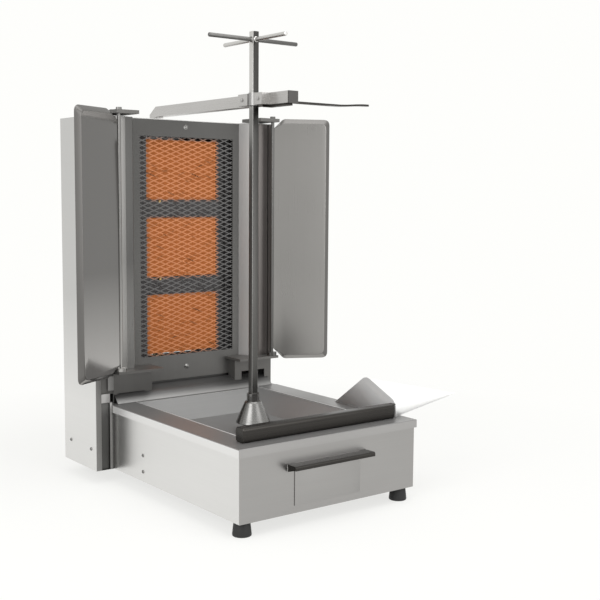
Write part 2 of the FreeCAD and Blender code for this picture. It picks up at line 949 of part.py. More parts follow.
def make_mesh():
    """Expanded-metal guard: one flat net of slanting strands with diamond openings."""
    half = float(S.window_half + S.mesh_lap)
    low = float(S.window_low - S.mesh_lap)
    high = float(S.window_low + S.window_tall + S.mesh_lap)
    pitch_x = float(S.mesh_long)
    pitch_z = float(S.mesh_short)
    middle = (low + high) / 2
    slope = math.hypot(pitch_x, pitch_z)
    strand = float(S.mesh_strand) * slope / (2 * pitch_x * pitch_z) * 2
    half_long = pitch_x / 2 * (1 - strand)
    half_short = pitch_z / 2 * (1 - strand)
    rim = float(S.mesh_strand)
    columns = int((half - rim - half_long) / (pitch_x / 2))
    rows = int(((high - low) / 2 - rim - half_short) / (pitch_z / 2))
    holes = []
    for row in range(-rows, rows + 1):
        for column in range(-columns, columns + 1):
            if (row + column) % 2 == 0:
                spot = (column * pitch_x / 2, middle + row * pitch_z / 2)
                holes.append(diamond(spot[0], spot[1], half_long, half_short))
    frame = [(-half, low), (half, low), (half, high), (-half, high), (-half, low)]
    outline = Part.makePolygon([FreeCAD.Vector(u, 0, v) for u, v in frame])
    net = Part.makeFace([outline] + holes, "Part::FaceMakerBullseye")
    part = doc.addObject("Part::Feature", "net")
    part.Shape = net.extrude(FreeCAD.Vector(0, float(S.mesh_thick), 0))
    seat(part, "burner_mesh", 0, S.frame_y + S.panel, 0)


def make_burners():
    """Three open-fronted burner boxes with their gas tubes, and the ceramic plaques in them."""
    gap = S.play
    half = S.plaque_wide / 2 + gap
    tall = S.plaque_tall / 2 + gap
    t = S.thin
    boxes = []
    plaques = []
    for level in range(3):
        z = burner_z(level)
        y0 = S.plaque_y
        y1 = y0 + S.burner_deep
        shell = box(-half - t, half + t, y0, y1, z - tall - t, z + tall + t)
        room = box(-half, half, y0 - 1, y1 - t, z - tall, z + tall)
        seat_z = z - tall - t
        tube_y = y0 + S.burner_deep / 2
        tube = rod(half, tube_y, z, S.venturi_bore, S.venturi_long + t, "x")
        bore = rod(half - 1, tube_y, z, S.venturi_bore - t, S.venturi_long + t + 2, "x")
        wing = S.frame_half - half - t
        ear_z = z - S.mesh_strand * 4
        ears = [
            box(-half - t - wing, -half - t, y0, y0 + t, ear_z, z + S.mesh_strand * 4),
            box(half + t, half + t + wing, y0, y0 + t, ear_z, z + S.mesh_strand * 4),
        ]
        boxes.append(cut(fuse(shell, tube, *ears), room, bore))
        plaque_x = S.plaque_wide / 2
        low = seat_z + t + gap
        plaques.append(box(-plaque_x, plaque_x, y0, y0 + S.plaque_thick, low, low + S.plaque_tall))
    seat(group(*boxes), "burner_boxes")
    seat(group(*plaques), "ceramic_plaques")
    y = S.plaque_y
    straps = []
    for sign in (-1, 1):
        edge = sign * S.frame_half
        inner = sign * (S.frame_half - S.flange)
        low = min(float(edge), float(inner))
        x0, x1 = (edge, inner) if float(edge) == low else (inner, edge)
        straps.append(box(x0, x1, y + t, y + t + S.panel, S.frame_low, tower_top - S.panel))
    apron_y = S.deck_behind - S.panel
    apron_top = S.frame_low + S.frame_fold
    apron = box(-S.frame_half, S.frame_half, apron_y, S.deck_behind, deck_top, apron_top)
    seat(group(apron, *straps), "burner_supports")


def make_gas_train():
    """Pipe, inlet, three taps with injectors, and the flame probes."""
    low = S.inlet_z
    top = burner_z(2) + S.tap_size / 2
    riser = rod(S.pipe_x, S.pipe_y, low - S.pipe_outer, S.pipe_outer, top - low + S.pipe_outer)
    spout = rod(S.pipe_x, S.pipe_y, low, S.pipe_outer, S.tower_deep - S.pipe_y, "y")
    seat(fuse(riser, spout), "gas_manifold")
    y = S.tower_deep
    nut = rod(S.pipe_x, y, low, S.inlet_thread + S.inlet_flat, S.inlet_nut, "y")
    thread = rod(S.pipe_x, y + S.inlet_nut, low, S.inlet_thread, S.inlet_out - S.inlet_nut, "y")
    hollow = rod(S.pipe_x, y + S.panel, low, S.pipe_outer - S.pipe_wall, S.inlet_out, "y")
    seat(cut(fuse(nut, thread), hollow), "gas_inlet")

    taps = []
    probes = []
    size = S.tap_size
    for level in range(3):
        z = burner_z(level)
        front = tap_front
        block = box(front - size, front, S.tap_y - size / 2, S.tap_y + size / 2, z - size / 2, z + size / 2)
        back = S.tap_y + size / 2
        neck_start = back - S.over
        neck = rod(S.pipe_x, neck_start, z, S.pipe_outer - S.pipe_wall * 2, S.pipe_y - neck_start, "y")
        pipe = rod(S.pipe_x, S.pipe_y, z - size, S.pipe_outer, size * 2)
        tube_end = S.plaque_wide / 2 + S.play + S.venturi_long + S.thin
        tube_y = S.plaque_y + S.burner_deep / 2
        jet = rod(tube_end, tube_y, z, S.stem_bore, front - size - tube_end + S.over, "x")
        bore = rod(front - size / 2, S.tap_y, z, S.stem_bore + S.slip, size, "x")
        taps.append(cut(fuse(block, neck, jet), bore, pipe))
        probe_z = z - S.plaque_tall / 2 - S.play - S.thin - S.probe_bore
        probe_y = S.plaque_y - S.probe_ahead
        probes.append(rod(-S.plaque_wide / 3, probe_y, probe_z, S.probe_bore, S.burner_deep, "y"))
    seat(group(*taps, *probes), "gas_taps")

    for level in range(3):
        z = burner_z(level)
        long = size / 2 + S.panel + S.play + S.stem_out
        stem = rod(tap_front - size / 2 + S.play, S.tap_y, z, S.stem_bore, long, "x")
        seat(stem, "tap_stem_%d" % (level + 1))
        x = half_base + S.knob_travel + S.play
        half = S.knob_wide / 2
        skirt = rod(x, S.tap_y, z, half, S.knob_deep / 3, "x")
        grip = rod(x, S.tap_y, z, S.knob_grip / 2, S.knob_deep, "x")
        rib = S.knob_ridge / 2
        ridge = box(x, x + S.knob_deep, S.tap_y - rib, S.tap_y + rib, z, z + half)
        socket = rod(x - S.over, S.tap_y, z, S.stem_bore + S.slip, S.stem_out + S.over * 2, "x")
        seat(cut(fuse(skirt, grip, ridge), socket), "gas_knob_%d" % (level + 1))


def make_switch():
    """Motor switch: a housing in the right side panel and its rocker."""
    x = half_base
    half = S.switch_wide / 2
    tall = S.switch_tall / 2
    y = S.switch_y
    z = S.switch_z
    gap = S.play
    back = x - S.switch_deep
    shell = box(back, x, y - half + gap, y + half - gap, z - tall + gap, z + tall - gap)
    edge = S.switch_bezel
    bezel = box(x, x + edge, y - half - edge, y + half + edge, z - tall - edge, z + tall + edge)
    wide = half - S.switch_rim
    high = tall - S.switch_rim
    room = box(x - S.switch_room, x + edge + S.over, y - wide, y + wide, z - high, z + high)
    seat(cut(fuse(shell, bezel), room), "switch_housing")
    rocker = doc.addObject("Part::Box", "rocker")
    key_wide = wide * 2 - S.rocker_side_gap
    key_tall = high * 2 - S.rocker_end_gap
    bind(rocker, "Length", S.rocker_thick)
    bind(rocker, "Width", key_wide)
    bind(rocker, "Height", key_tall)
    put(rocker, 0, -key_wide / 2, -key_tall / 2)
    key = group(rocker)
    key.Placement.Rotation = FreeCAD.Rotation(FreeCAD.Vector(0, 1, 0), float(S.rocker_tilt))
    seat(key, "switch_rocker", x - S.rocker_sunk, y, z)


def make_gland():
    """Bush that the mains cable comes out of."""
    x = S.gland_x
    z = S.inlet_z
    y = S.tower_deep
    nut = rod(x, y, z, S.gland_outer, S.gland_nut, "y")
    dome = doc.addObject("Part::Cone", "dome")
    bind(dome, "Radius1", S.gland_outer - S.gland_step)
    bind(dome, "Radius2", S.gland_bore + S.gland_step)
    bind(dome, "Height", S.gland_outer)
    dome.Placement.Rotation = TURNS["y"]
    put(dome, x, y + S.gland_nut, z)
    through = S.gland_nut + S.gland_outer + S.over * 2
    hole = rod(x, y - S.over, z, S.gland_bore, through, "y")
    seat(cut(fuse(nut, dome), hole), "cable_gland")


def make_drive():
    """Motor, gearbox and bracket under the pan, the boss on its floor, and the turning bell."""
    x = 0
    y = spit_y
    half = S.gearbox_side / 2
    under = pan_floor - S.thin
    plate_top = under - S.standoff
    plate_low = plate_top - S.panel * 2
    side = S.bracket_side / 2
    plate = box(-side, side, y - side, y + side, plate_low, plate_top)
    inset = side - S.flange
    legs = [
        rod(px, y + py, plate_top, S.standoff, S.standoff)
        for px in (-inset, inset)
        for py in (-inset, inset)
    ]
    hole = rod(x, y, plate_low - S.over, S.shaft_bore + S.shaft_gap, S.panel * 4)
    seat(cut(fuse(plate, *legs), hole), "motor_bracket")
    case_low = plate_low - S.gearbox_tall
    case = box(-half, half, y - half, y + half, case_low, plate_low)
    bore_deep = S.gearbox_tall / 2
    bore = rod(x, y, plate_low - bore_deep, S.shaft_bore + S.slip, bore_deep + S.over)
    seat(cut(case, bore), "gearbox")
    can = rod(x, y + half, case_low + S.gearbox_tall / 2 - 2, S.motor_bore - 4, S.motor_long, "y")
    seat(can, "drive_motor")
    boss_base = rod(x, y, pan_floor, S.boss_outer + S.boss_foot, S.boss_foot_tall)
    boss = rod(x, y, pan_floor, S.boss_outer, S.boss_tall)
    boss_hole = rod(x, y, pan_floor - S.over, S.shaft_bore + S.slip, S.boss_tall + S.over * 2)
    seat(cut(fuse(boss_base, boss), boss_hole), "bearing_boss")

    shaft_low = plate_low - bore_deep + S.play
    shaft_top = S.bell_high - S.bell_roof
    seat(rod(x, y, shaft_low, S.shaft_bore, shaft_top - shaft_low), "drive_shaft")

    bell = body("bell")
    drawing = sketch(bell, "XZ_Plane")
    wide = S.bell_wide / 2
    narrow = S.bell_narrow / 2
    tall = S.bell_high - S.bell_low
    w = S.bell_wall
    hub = S.shaft_bore + S.bell_hub
    points = [
        (wide, 0),
        (wide, w),
        (narrow, tall),
        (0, tall),
        (0, tall - S.bell_roof),
        (S.shaft_bore, tall - S.bell_roof),
        (S.shaft_bore, tall / 3),
        (hub, tall / 3),
        (hub, tall * 0.72),
        (wide - w * 2, 0),
    ]
    polygon(drawing, points)
    spin = bell.newObject("PartDesign::Revolution", "spin")
    spin.Profile = drawing
    spin.ReferenceAxis = (drawing, ["V_Axis"])
    spin.Angle = 360
    seat(bell, "spit_bell", x, y, S.bell_low)

    half_tube = S.skewer_side / 2
    grip = half_tube + S.slip
    nut = rod(x, y, S.bell_high, S.socket_wide / 2, S.socket_tall)
    mouth = S.bell_high + S.socket_tall + S.over
    square = box(-grip, grip, y - grip, y + grip, S.bell_high - S.over, mouth)
    seat(cut(nut, square), "spit_socket")


def make_skewer():
    """Square skewer with its cross handle and the collar that turns in the arm's fork."""
    half = S.skewer_side / 2
    tube = body("skewer")
    drawing = sketch(tube, "XY_Plane")
    rectangle(drawing, -half, half, -half, half)
    pad(tube, drawing, S.skewer_top - S.bell_high)
    round_edges(tube, lambda e: runs_along(e, 2), S.skewer_wall / 2)
    bore = sketch(tube, "XY_Plane", 0)
    hollow = half - S.skewer_wall
    rectangle(bore, -hollow, hollow, -hollow, hollow)
    pocket(tube, bore, S.skewer_top / 2, reverse=True)
    seat(tube, "skewer_tube", 0, spit_y, S.bell_high)

    long = S.cross_reach - half
    r = S.cross_bore
    z = S.cross_z
    along_x = [rod(half, spit_y, z, r, long, "x"), rod(-S.cross_reach, spit_y, z, r, long, "x")]
    along_y = [rod(0, spit_y + half, z, r, long, "y"), rod(0, spit_y - S.cross_reach, z, r, long, "y")]
    seat(group(*along_x, *along_y), "cross_handle")
    rise = S.collar_over
    ring = rod(0, spit_y, S.arm_low - rise, S.collar_bore, S.arm_side + rise * 2)
    past = rise + S.over
    hole = box(-half, half, spit_y - half, spit_y + half, S.arm_low - past, arm_top + past)
    seat(cut(ring, hole), "skewer_collar")


def make_arm():
    """Swinging top arm with its fork, guide, cap and pull bar, and the fixed post behind."""
    tube = body("arm")
    drawing = sketch(tube, "YZ_Plane")
    points = [
        (S.arm_front, 0),
        (S.arm_rear, 0),
        (S.arm_rear, S.arm_side / 4),
        (S.arm_rear - S.arm_cut, S.arm_side),
        (S.arm_front, S.arm_side),
    ]
    polygon(drawing, points)
    pad(tube, drawing, S.arm_side)
    inner = sketch(tube, "XZ_Plane", -S.arm_front)
    w = S.skewer_wall
    rectangle(inner, w, S.arm_side - w, w, S.arm_side - w)
    pocket(tube, inner, S.arm_rear - S.arm_front - S.arm_cut * 2)
    seat(tube, "arm_tube", arm_left, 0, S.arm_low)

    leg_low = S.arm_low - S.arm_leg
    rear = S.arm_rear
    leg = box(arm_left, arm_right, rear - S.arm_side, rear, leg_low, S.arm_low)
    deep = S.arm_leg - S.leg_roof + S.over
    socket = rod(S.arm_x, post_y, leg_low - S.over, S.post_bore + S.slip, deep)
    seat(cut(leg, socket), "arm_leg")

    mouth = S.collar_bore + S.fork_play
    left = arm_left - S.fork_reach
    back_front = spit_y + mouth
    tine_back = spit_y - mouth
    rear_block = box(left, arm_left, back_front, back_front + S.fork_rear, S.arm_low, arm_top)
    tine = box(left, arm_left, tine_back - S.fork_front, tine_back, S.arm_low, arm_top)
    seat(group(rear_block, tine), "arm_fork")
    guide_low = S.arm_low - S.bar_thick
    guide = box(arm_left, arm_right, tine_back - S.arm_guide, tine_back, guide_low, S.arm_low)
    front = S.arm_front
    cap = box(arm_left, arm_right, front - S.arm_cap, front, S.arm_low, arm_top)
    seat(cap, "arm_cap")

    end = arm_right + S.bar_reach
    y0 = front
    y1 = front + S.bar_wide
    z0 = S.arm_low
    flat = box(arm_right, end, y0, y1, z0, z0 + S.bar_thick)
    lip = rod(end - S.bar_grip, y0 + S.bar_wide / 2, z0 + S.bar_thick / 2, S.bar_thick, S.bar_grip, "x")
    seat(group(fuse(flat, lip), guide), "arm_pull")

    post_top = S.arm_low - S.leg_roof - S.post_gap
    pin = rod(S.arm_x, post_y, post_top - S.post_long, S.post_bore, S.post_long)
    seat(pin, "arm_post")
    holders = []
    for z in (leg_low - S.play - S.arm_side, post_top - S.post_long + S.post_foot):
        block = box(arm_left, arm_right, S.tower_deep, rear, z, z + S.arm_side)
        hole = rod(S.arm_x, post_y, z - S.over, S.post_bore, S.arm_side + S.over * 2)
        holders.append(cut(block, hole))
    seat(group(*holders), "post_brackets")


def rounded_wire(points, radii, y):
    """Closed wire in a plane of constant y, with an arc at each corner that has a radius."""
    count = len(points)
    ends = []
    for i, (spot, radius) in enumerate(zip(points, radii)):
        here = FreeCAD.Vector(spot[0], y, spot[1])
        before = FreeCAD.Vector(points[i - 1][0], y, points[i - 1][1])
        after = FreeCAD.Vector(points[(i + 1) % count][0], y, points[(i + 1) % count][1])
        if radius == 0:
            ends.append((here, None, here))
            continue
        way_in = (before - here).normalize()
        way_out = (after - here).normalize()
        angle = way_in.getAngle(way_out)
        back = radius / math.tan(angle / 2)
        middle_way = (way_in + way_out).normalize()
        centre = here + middle_way * (radius / math.sin(angle / 2))
        middle = centre - middle_way * radius
        ends.append((here + way_in * back, middle, here + way_out * back))
    edges = []
    for i, (start, middle, stop) in enumerate(ends):
        if middle is not None:
            edges.append(Part.Arc(start, middle, stop).toShape())
        following = ends[(i + 1) % count][0]
        edges.append(Part.LineSegment(stop, following).toShape())
    return Part.Wire(edges)


def wing_outline(grow):
    """Corners of a wing seen from the front, with its free edges moved out by a distance."""
    start = float(S.wing_start)
    edge = float(S.wing_chord) - float(S.wing_edge) + grow
    top = float(S.wing_tall) - float(S.wing_edge) + grow
    low = float(S.wing_edge) - grow
    notch = float(S.wing_cut)
    top_notch = float(S.wing_cut_top)
    return [
        (start, notch),
        (start + notch, low),
        (edge, low),
        (edge, top),
        (start + top_notch, top),
        (start, float(S.wing_tall) - top_notch),
    ]


def make_wings():
    """Side wings: dished sheets with slanted edges, on pins held in lugs at top and bottom."""
    radius = float(S.wing_round)
    radii = [0, 0, radius, radius, 0, 0]
    rise = float(S.wing_edge)
    wall = float(S.thin)
    outer = Part.makeLoft([
        rounded_wire(wing_outline(0), radii, 0),
        rounded_wire(wing_outline(rise), radii, rise),
    ], True, True)
    inner = Part.makeLoft([
        rounded_wire(wing_outline(-wall / 2), radii, wall),
        rounded_wire(wing_outline(rise - wall / 2), radii, rise + wall),
    ], True, True)
    dish = outer.cut(inner)
    for name, sign in SIDES:
        shape = dish.copy()
        if sign < 0:
            shape = shape.mirror(FreeCAD.Vector(0, 0, 0), FreeCAD.Vector(1, 0, 0))
        part = doc.addObject("Part::Feature", "wing")
        part.Shape = shape
        part.Placement.Rotation = FreeCAD.Rotation(UP, -sign * float(S.wing_open))
        seat(part, "wing_" + name, sign * S.hinge_x, S.hinge_y, S.wing_low)

        x = sign * S.hinge_x
        y = S.hinge_y
        top = S.lug_top_z + S.lug_top_thick
        pin = rod(x, y, S.lug_low_z, S.pin_bore, top - S.lug_low_z)
        head = rod(x, y, top + S.play, S.pin_head, S.pin_head_tall)
        neck = rod(x, y, top, S.pin_bore, S.play)
        spacer = rod(x, y, S.lug_low_z + S.lug_low_thick + S.play, S.spacer_bore, S.spacer_tall)
        seat(fuse(pin, head, neck, spacer), "wing_pin_" + name)


def side_box(sign, near, far, y0, y1, z0, z1):
    """Box between two distances from the middle, on one side."""
    x0, x1 = (near, far) if sign > 0 else (-far, -near)
    return box(x0, x1, y0, y1, z0, z1)


def make_lugs():
    """Lugs that carry the wing pins: flat bars above the tower, and plates under the columns.

    Each lower plate rests on a folded stand with an arch between its feet.
    """
    lugs = []
    for _, sign in SIDES:
        back = S.column_back
        ahead = S.hinge_y - S.lug_out
        out = S.hinge_x + S.lug_out
        top_z = S.lug_top_z
        flat = side_box(sign, half_base - S.lug_wide, out, ahead, back, top_z, top_z + S.lug_top_thick)
        bolt_x = sign * (half_base - S.lug_bolt)
        washer = rod(bolt_x, back - S.lug_out, tower_top, S.pin_head + S.lug_washer, top_z - tower_top)
        bolt = rod(bolt_x, back - S.lug_out, top_z + S.lug_top_thick, S.pin_head, S.lug_bolt_tall)
        wide = S.pin_bore + S.slip
        hole = rod(sign * S.hinge_x, S.hinge_y, top_z - S.over, wide, S.lug_top_thick + S.over * 2)
        lugs.append(cut(fuse(flat, washer, bolt), hole))

        low = S.lug_low_z
        frame_front = S.frame_y - S.play
        plate = side_box(sign, S.lug_inner, out, ahead, frame_front, low, low + S.lug_low_thick)
        seat_x = S.frame_half + S.play
        rear_seat = side_box(sign, seat_x, half_base, frame_front - S.over, back, low, low + S.lug_low_thick)
        w = S.stand_wall
        near = S.stand_inner
        front = S.column_front
        stand = side_box(sign, near, half_base, front, frame_front, deck_top, low)
        floor = deck_top - S.over
        room = side_box(sign, near + w, half_base - w, front + w, frame_front - w, floor, low - w)
        gap_in = near + S.stand_foot
        gap_out = half_base - S.stand_foot
        arch = side_box(sign, gap_in, gap_out, front - S.over, frame_front + S.over, floor, S.stand_arch)
        bore = rod(sign * S.hinge_x, S.hinge_y, low - S.over, wide, S.lug_low_thick + S.over * 2)
        lugs.append(cut(fuse(plate, rear_seat, stand), room, arch, bore))
    seat(group(*lugs), "wing_lugs")


def make_scoop():
    """Pointed meat scoop, turned over on the deck beside the rail."""
    x = 0.0
    near = 0.0
    far = float(S.scoop_deep)
    ridge_y = float(S.scoop_apex)
    reach = float(S.scoop_reach)
    side = float(S.scoop_side)
    foot_far = FreeCAD.Vector(x, far, 0)
    foot_near = FreeCAD.Vector(x, near, 0)
    shoulder = FreeCAD.Vector(x, near, side)
    apex = FreeCAD.Vector(x, ridge_y, float(S.scoop_tall))
    tip = FreeCAD.Vector(x + reach, near, side - float(S.scoop_tip_drop))
    faces = [
        (foot_far, foot_near, shoulder, apex),
        (foot_near, tip, shoulder),
        (shoulder, tip, apex),
        (apex, tip, foot_far),
        (foot_far, tip, foot_near),
    ]
    skins = [Part.Face(Part.makePolygon(list(face) + [face[0]])) for face in faces]
    outside = Part.makeSolid(Part.makeShell(skins))
    wall = float(S.scoop_wall)
    inside = outside.copy()
    inside.translate(FreeCAD.Vector(wall, wall, -wall * 2.6))
    part = doc.addObject("Part::Feature", "scoop")
    part.Shape = outside.cut(inside)
    seat(part, "meat_scoop", S.scoop_x, S.scoop_near, deck_top + S.play)


def make_fixings():
    """Screws seen on the left panels, and the two hooks on the burner frame."""
    base_x = -half_base - S.screw_tall
    duct_x = -half_base - S.duct_wide - S.screw_tall
    spots = [
        (base_x, S.base_screw_y, S.base_screw_high),
        (base_x, S.base_screw_y, S.base_screw_low),
        (duct_x, S.duct_screw_back_y, S.duct_screw_back_z),
        (duct_x, S.duct_screw_y, S.duct_screw_z),
    ]
    screws = [rod(x, y, z, S.screw_bore, S.screw_tall, "x") for x, y, z in spots]
    y = S.frame_y
    thick = S.washer_thick
    out = S.hook_out + thick
    for z in (S.frame_low + S.hook_up, tower_top - S.hook_down):
        head = rod(S.hook_x, y - out, z, S.hook_bore, out, "y")
        washer = rod(S.hook_x, y - thick, z, S.washer_bore, thick, "y")
        screws.append(fuse(head, washer))
    seat(group(*screws), "panel_screws")


def write_parts():
    """Check every object and write one file for each node."""
    doc.recompute()
    for obj in doc.Objects:
        bad = [state for state in obj.State if state in ("Invalid", "Error")]
        if bad:
            raise RuntimeError("%s (%s) is %s" % (obj.Name, obj.Label, bad))
    for obj in NODES:
        if obj.Shape.isNull() or not obj.Shape.isValid():
            raise RuntimeError("%s has no valid shape" % obj.Label)
    os.makedirs("parts", exist_ok=True)
    for obj in NODES:
        obj.Shape.exportStep("parts/%s.step" % obj.Label)


def main():
    """Build every piece and write the files."""
    make_feet()
    make_base_sides()
    make_base_front()
    make_base_bottom()
    make_deck()
    make_pan()
    make_rail()
    make_drawer()
    make_duct()
    make_tower_shell()
    make_columns()
    make_burner_frame()
    make_mesh()
    make_burners()
    make_gas_train()
    make_switch()
    make_gland()
    make_drive()
    make_skewer()
    make_arm()
    make_wings()
    make_lugs()
    make_scoop()
    make_fixings()
    write_parts()


main()
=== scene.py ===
"""Looks of a gas doner kebab grill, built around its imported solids."""

from __future__ import annotations

import logging
import math
from abc import ABC, abstractmethod
from dataclasses import dataclass
from enum import Enum
from typing import Callable

import bmesh
import bpy
import numpy as np
from mathutils import Matrix, Vector


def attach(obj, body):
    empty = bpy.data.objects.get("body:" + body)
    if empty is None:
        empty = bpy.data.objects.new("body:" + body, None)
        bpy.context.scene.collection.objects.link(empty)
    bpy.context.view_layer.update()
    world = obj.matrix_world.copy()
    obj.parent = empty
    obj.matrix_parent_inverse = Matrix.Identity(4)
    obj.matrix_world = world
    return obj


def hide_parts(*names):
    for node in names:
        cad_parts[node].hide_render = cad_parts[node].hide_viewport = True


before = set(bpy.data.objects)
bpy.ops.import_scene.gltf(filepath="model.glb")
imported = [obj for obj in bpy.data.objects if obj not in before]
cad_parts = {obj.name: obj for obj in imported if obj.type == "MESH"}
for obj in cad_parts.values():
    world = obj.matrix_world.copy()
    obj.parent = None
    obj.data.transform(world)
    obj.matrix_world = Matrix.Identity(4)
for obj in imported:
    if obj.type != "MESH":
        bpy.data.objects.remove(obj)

LOG = logging.getLogger("grill")
MM = 0.001
SHIFT = np.array([-23.6, 139.4, 0.0])

Pair = tuple[float, float]
Triple = tuple[float, float, float]
Box = tuple[Triple, Triple]
Socket = bpy.types.NodeSocket
Material = bpy.types.Material

PANEL, POLISHED, PLASTIC = "steel_panel", "steel_polished", "black_plastic"
# radius of a turned piece's end at its axis, and how deep a ribbed rim is, as a share of its radius
TIP, FLUTE = 0.01, 0.035
# noise scales across and along the grain, and of the smudges
HAIR, BAND, CLOUD = (700.0, 6.0), (60.0, 1.5), 7.0
# the three burner plaques: their lower edges, height and middles, and the tower's back plane
PLAQUE_LOWS = (272.5, 455.5, 638.5)
PLAQUE_TALL = 140.0
PLAQUE_MIDDLES = tuple(low + PLAQUE_TALL / 2 for low in PLAQUE_LOWS)
REAR_Y = 163.6


class Axis(Enum):
    """The three ways that a grain or a turned piece can run."""

    X = 0
    Y = 1
    Z = 2


X, Y, Z = Axis


def machine(points: np.ndarray) -> np.ndarray:
    """Bring points from machine millimetres to the row frame's metres: (point + shift) / 1000.

    Args:
        points: Array (..., 3); the skewer is at x = 0 and the tower's front at y = 0.

    Returns:
        The same points in metres.
    """
    return (np.asarray(points, float) + SHIFT) * MM


@dataclass
class Value:
    """A number given out by a node of a graph; arithmetic on it adds Math nodes."""

    graph: Graph
    socket: Socket

    def __add__(self, other: Value | float) -> Value:
        """Sum."""
        return self.graph.math("ADD", self, other)

    def __sub__(self, other: Value | float) -> Value:
        """Difference."""
        return self.graph.math("SUBTRACT", self, other)

    def __mul__(self, other: Value | float) -> Value:
        """Product."""
        return self.graph.math("MULTIPLY", self, other)

    def above(self, other: float) -> Value:
        """1 where the number is above another one."""
        return self.graph.math("GREATER_THAN", self, other)

    def size(self) -> Value:
        """The number without its sign."""
        return self.graph.math("ABSOLUTE", self, 0.0)


class Graph:
    """A tree of shader nodes, written as expressions."""

    def __init__(self, tree: bpy.types.NodeTree) -> None:
        """Keep the tree and empty it."""
        self.tree = tree
        tree.nodes.clear()

    def plug(self, socket: Socket, item: object) -> None:
        """Set a socket to a number or colour, or link it to a value or another socket."""
        if isinstance(item, Value):
            item = item.socket
        if isinstance(item, Socket):
            self.tree.links.new(item, socket)
        else:
            socket.default_value = item

    def node(self, kind: str, inputs: dict | None = None, **settings: object) -> bpy.types.Node:
        """Add any node.

        Args:
            kind: The node's type without its leading "ShaderNode".
            inputs: Values or links for its sockets, by name or number.
            settings: Its own properties, set first.

        Returns:
            The node.
        """
        made = self.tree.nodes.new("ShaderNode" + kind)
        for key, item in settings.items():
            setattr(made, key, item)
        for key, item in (inputs or {}).items():
            self.plug(made.inputs[key], item)
        return made

    def math(self, operation: str, left: object, right: object) -> Value:
        """Add one Math node and give its number."""
        made = self.node("Math", {0: left, 1: right}, operation=operation)
        return Value(self, made.outputs[0])

    def spot(self) -> Socket:
        """The object coordinates in metres."""
        return self.node("TexCoord").outputs["Object"]

    def axes(self) -> list[Value]:
        """The object coordinates x, y and z, each as a number."""
        split = self.node("SeparateXYZ", {0: self.spot()})
        return [Value(self, socket) for socket in split.outputs]

    def noise(self, scale: Triple | float, detail: float = 2.0) -> Value:
        """Soft noise from 0 to 1 over object coordinates, scaled alike or each on its own."""
        scales = scale if isinstance(scale, tuple) else (scale,) * 3
        place = self.node("Mapping", {"Vector": self.spot(), "Scale": scales})
        inputs = {"Vector": place.outputs[0], "Scale": 1.0, "Detail": detail}
        return Value(self, self.node("TexNoise", inputs).outputs[0])

    def ramp(self, factor: Value, low: float, high: float) -> Value:
        """Map a factor from a range to 0..1, held at the ends."""
        inputs = {"Value": factor, "From Min": low, "From Max": high}
        return Value(self, self.node("MapRange", inputs).outputs[0])

    def mix(self, factor: object, first: object, second: object) -> Socket:
        """Blend two colours by a factor."""
        inputs = {0: factor, 6: first, 7: second}
        return self.node("Mix", inputs, data_type="RGBA").outputs[2]

    def tones(self, factor: Value, colour: Triple, low: float, high: float) -> Socket:
        """Blend two levels of one colour by a factor."""
        return self.mix(factor, shade(colour, low), shade(colour, high))

    def bump(self, height: Value, distance: float, strength: float = 1.0) -> Socket:
        """Turn a height from 0 to 1 into a surface normal; distance is in metres."""
        inputs = {"Height": height, "Distance": distance, "Strength": strength}
        return self.node("Bump", inputs).outputs[0]

    def seen(self) -> Value:
        """1 for camera, glossy and transmission rays, 0 for the light that falls on things."""
        path = self.node("LightPath").outputs
        either = self.math("MAXIMUM", path["Is Camera Ray"], path["Is Glossy Ray"])
        return self.math("MAXIMUM", either, path["Is Transmission Ray"])


class Paint(Graph):
    """A material's graph with its surface shader."""

    def __init__(self, name: str) -> None:
        """Start an empty material under a name."""
        self.material = bpy.data.materials.new(name)
        self.material.use_nodes = True
        super().__init__(self.material.node_tree)
        self.shader = self.node("BsdfPrincipled")
        self.out = self.node("OutputMaterial", {0: self.shader.outputs[0]})


def shade(colour: Triple, level: float = 1.0) -> tuple[float, float, float, float]:
    """A colour with alpha, made lighter or darker by a level."""
    return (colour[0] * level, colour[1] * level, colour[2] * level, 1.0)


def stretched(grain: Axis, across: float, along: float) -> Triple:
    """Noise scales with one value along the grain and another across it."""
    return tuple(along if way is grain else across for way in Axis)


# Painted light: one steel in two tones, lighter for the lamp-lit side walls and darker for the
# shaded front plates.
LIT_WALL_TONE = (0.735, 0.73, 0.72)
SHADED_PLATE_TONE = (0.365, 0.357, 0.35)


@dataclass(frozen=True)
class Finish(ABC):
    """A procedural material and its main colour."""

    colour: Triple

    @abstractmethod
    def sockets(self, paint: Paint) -> dict[str, object]:
        """What goes into the shader's sockets, by their names."""

    def build(self, name: str) -> Material:
        """Build the material.

        Args:
            name: The material's name.

        Returns:
            The material, with every socket plugged.
        """
        paint = Paint(name)
        for key, item in self.sockets(paint).items():
            paint.plug(paint.shader.inputs[key], item)
        return paint.material


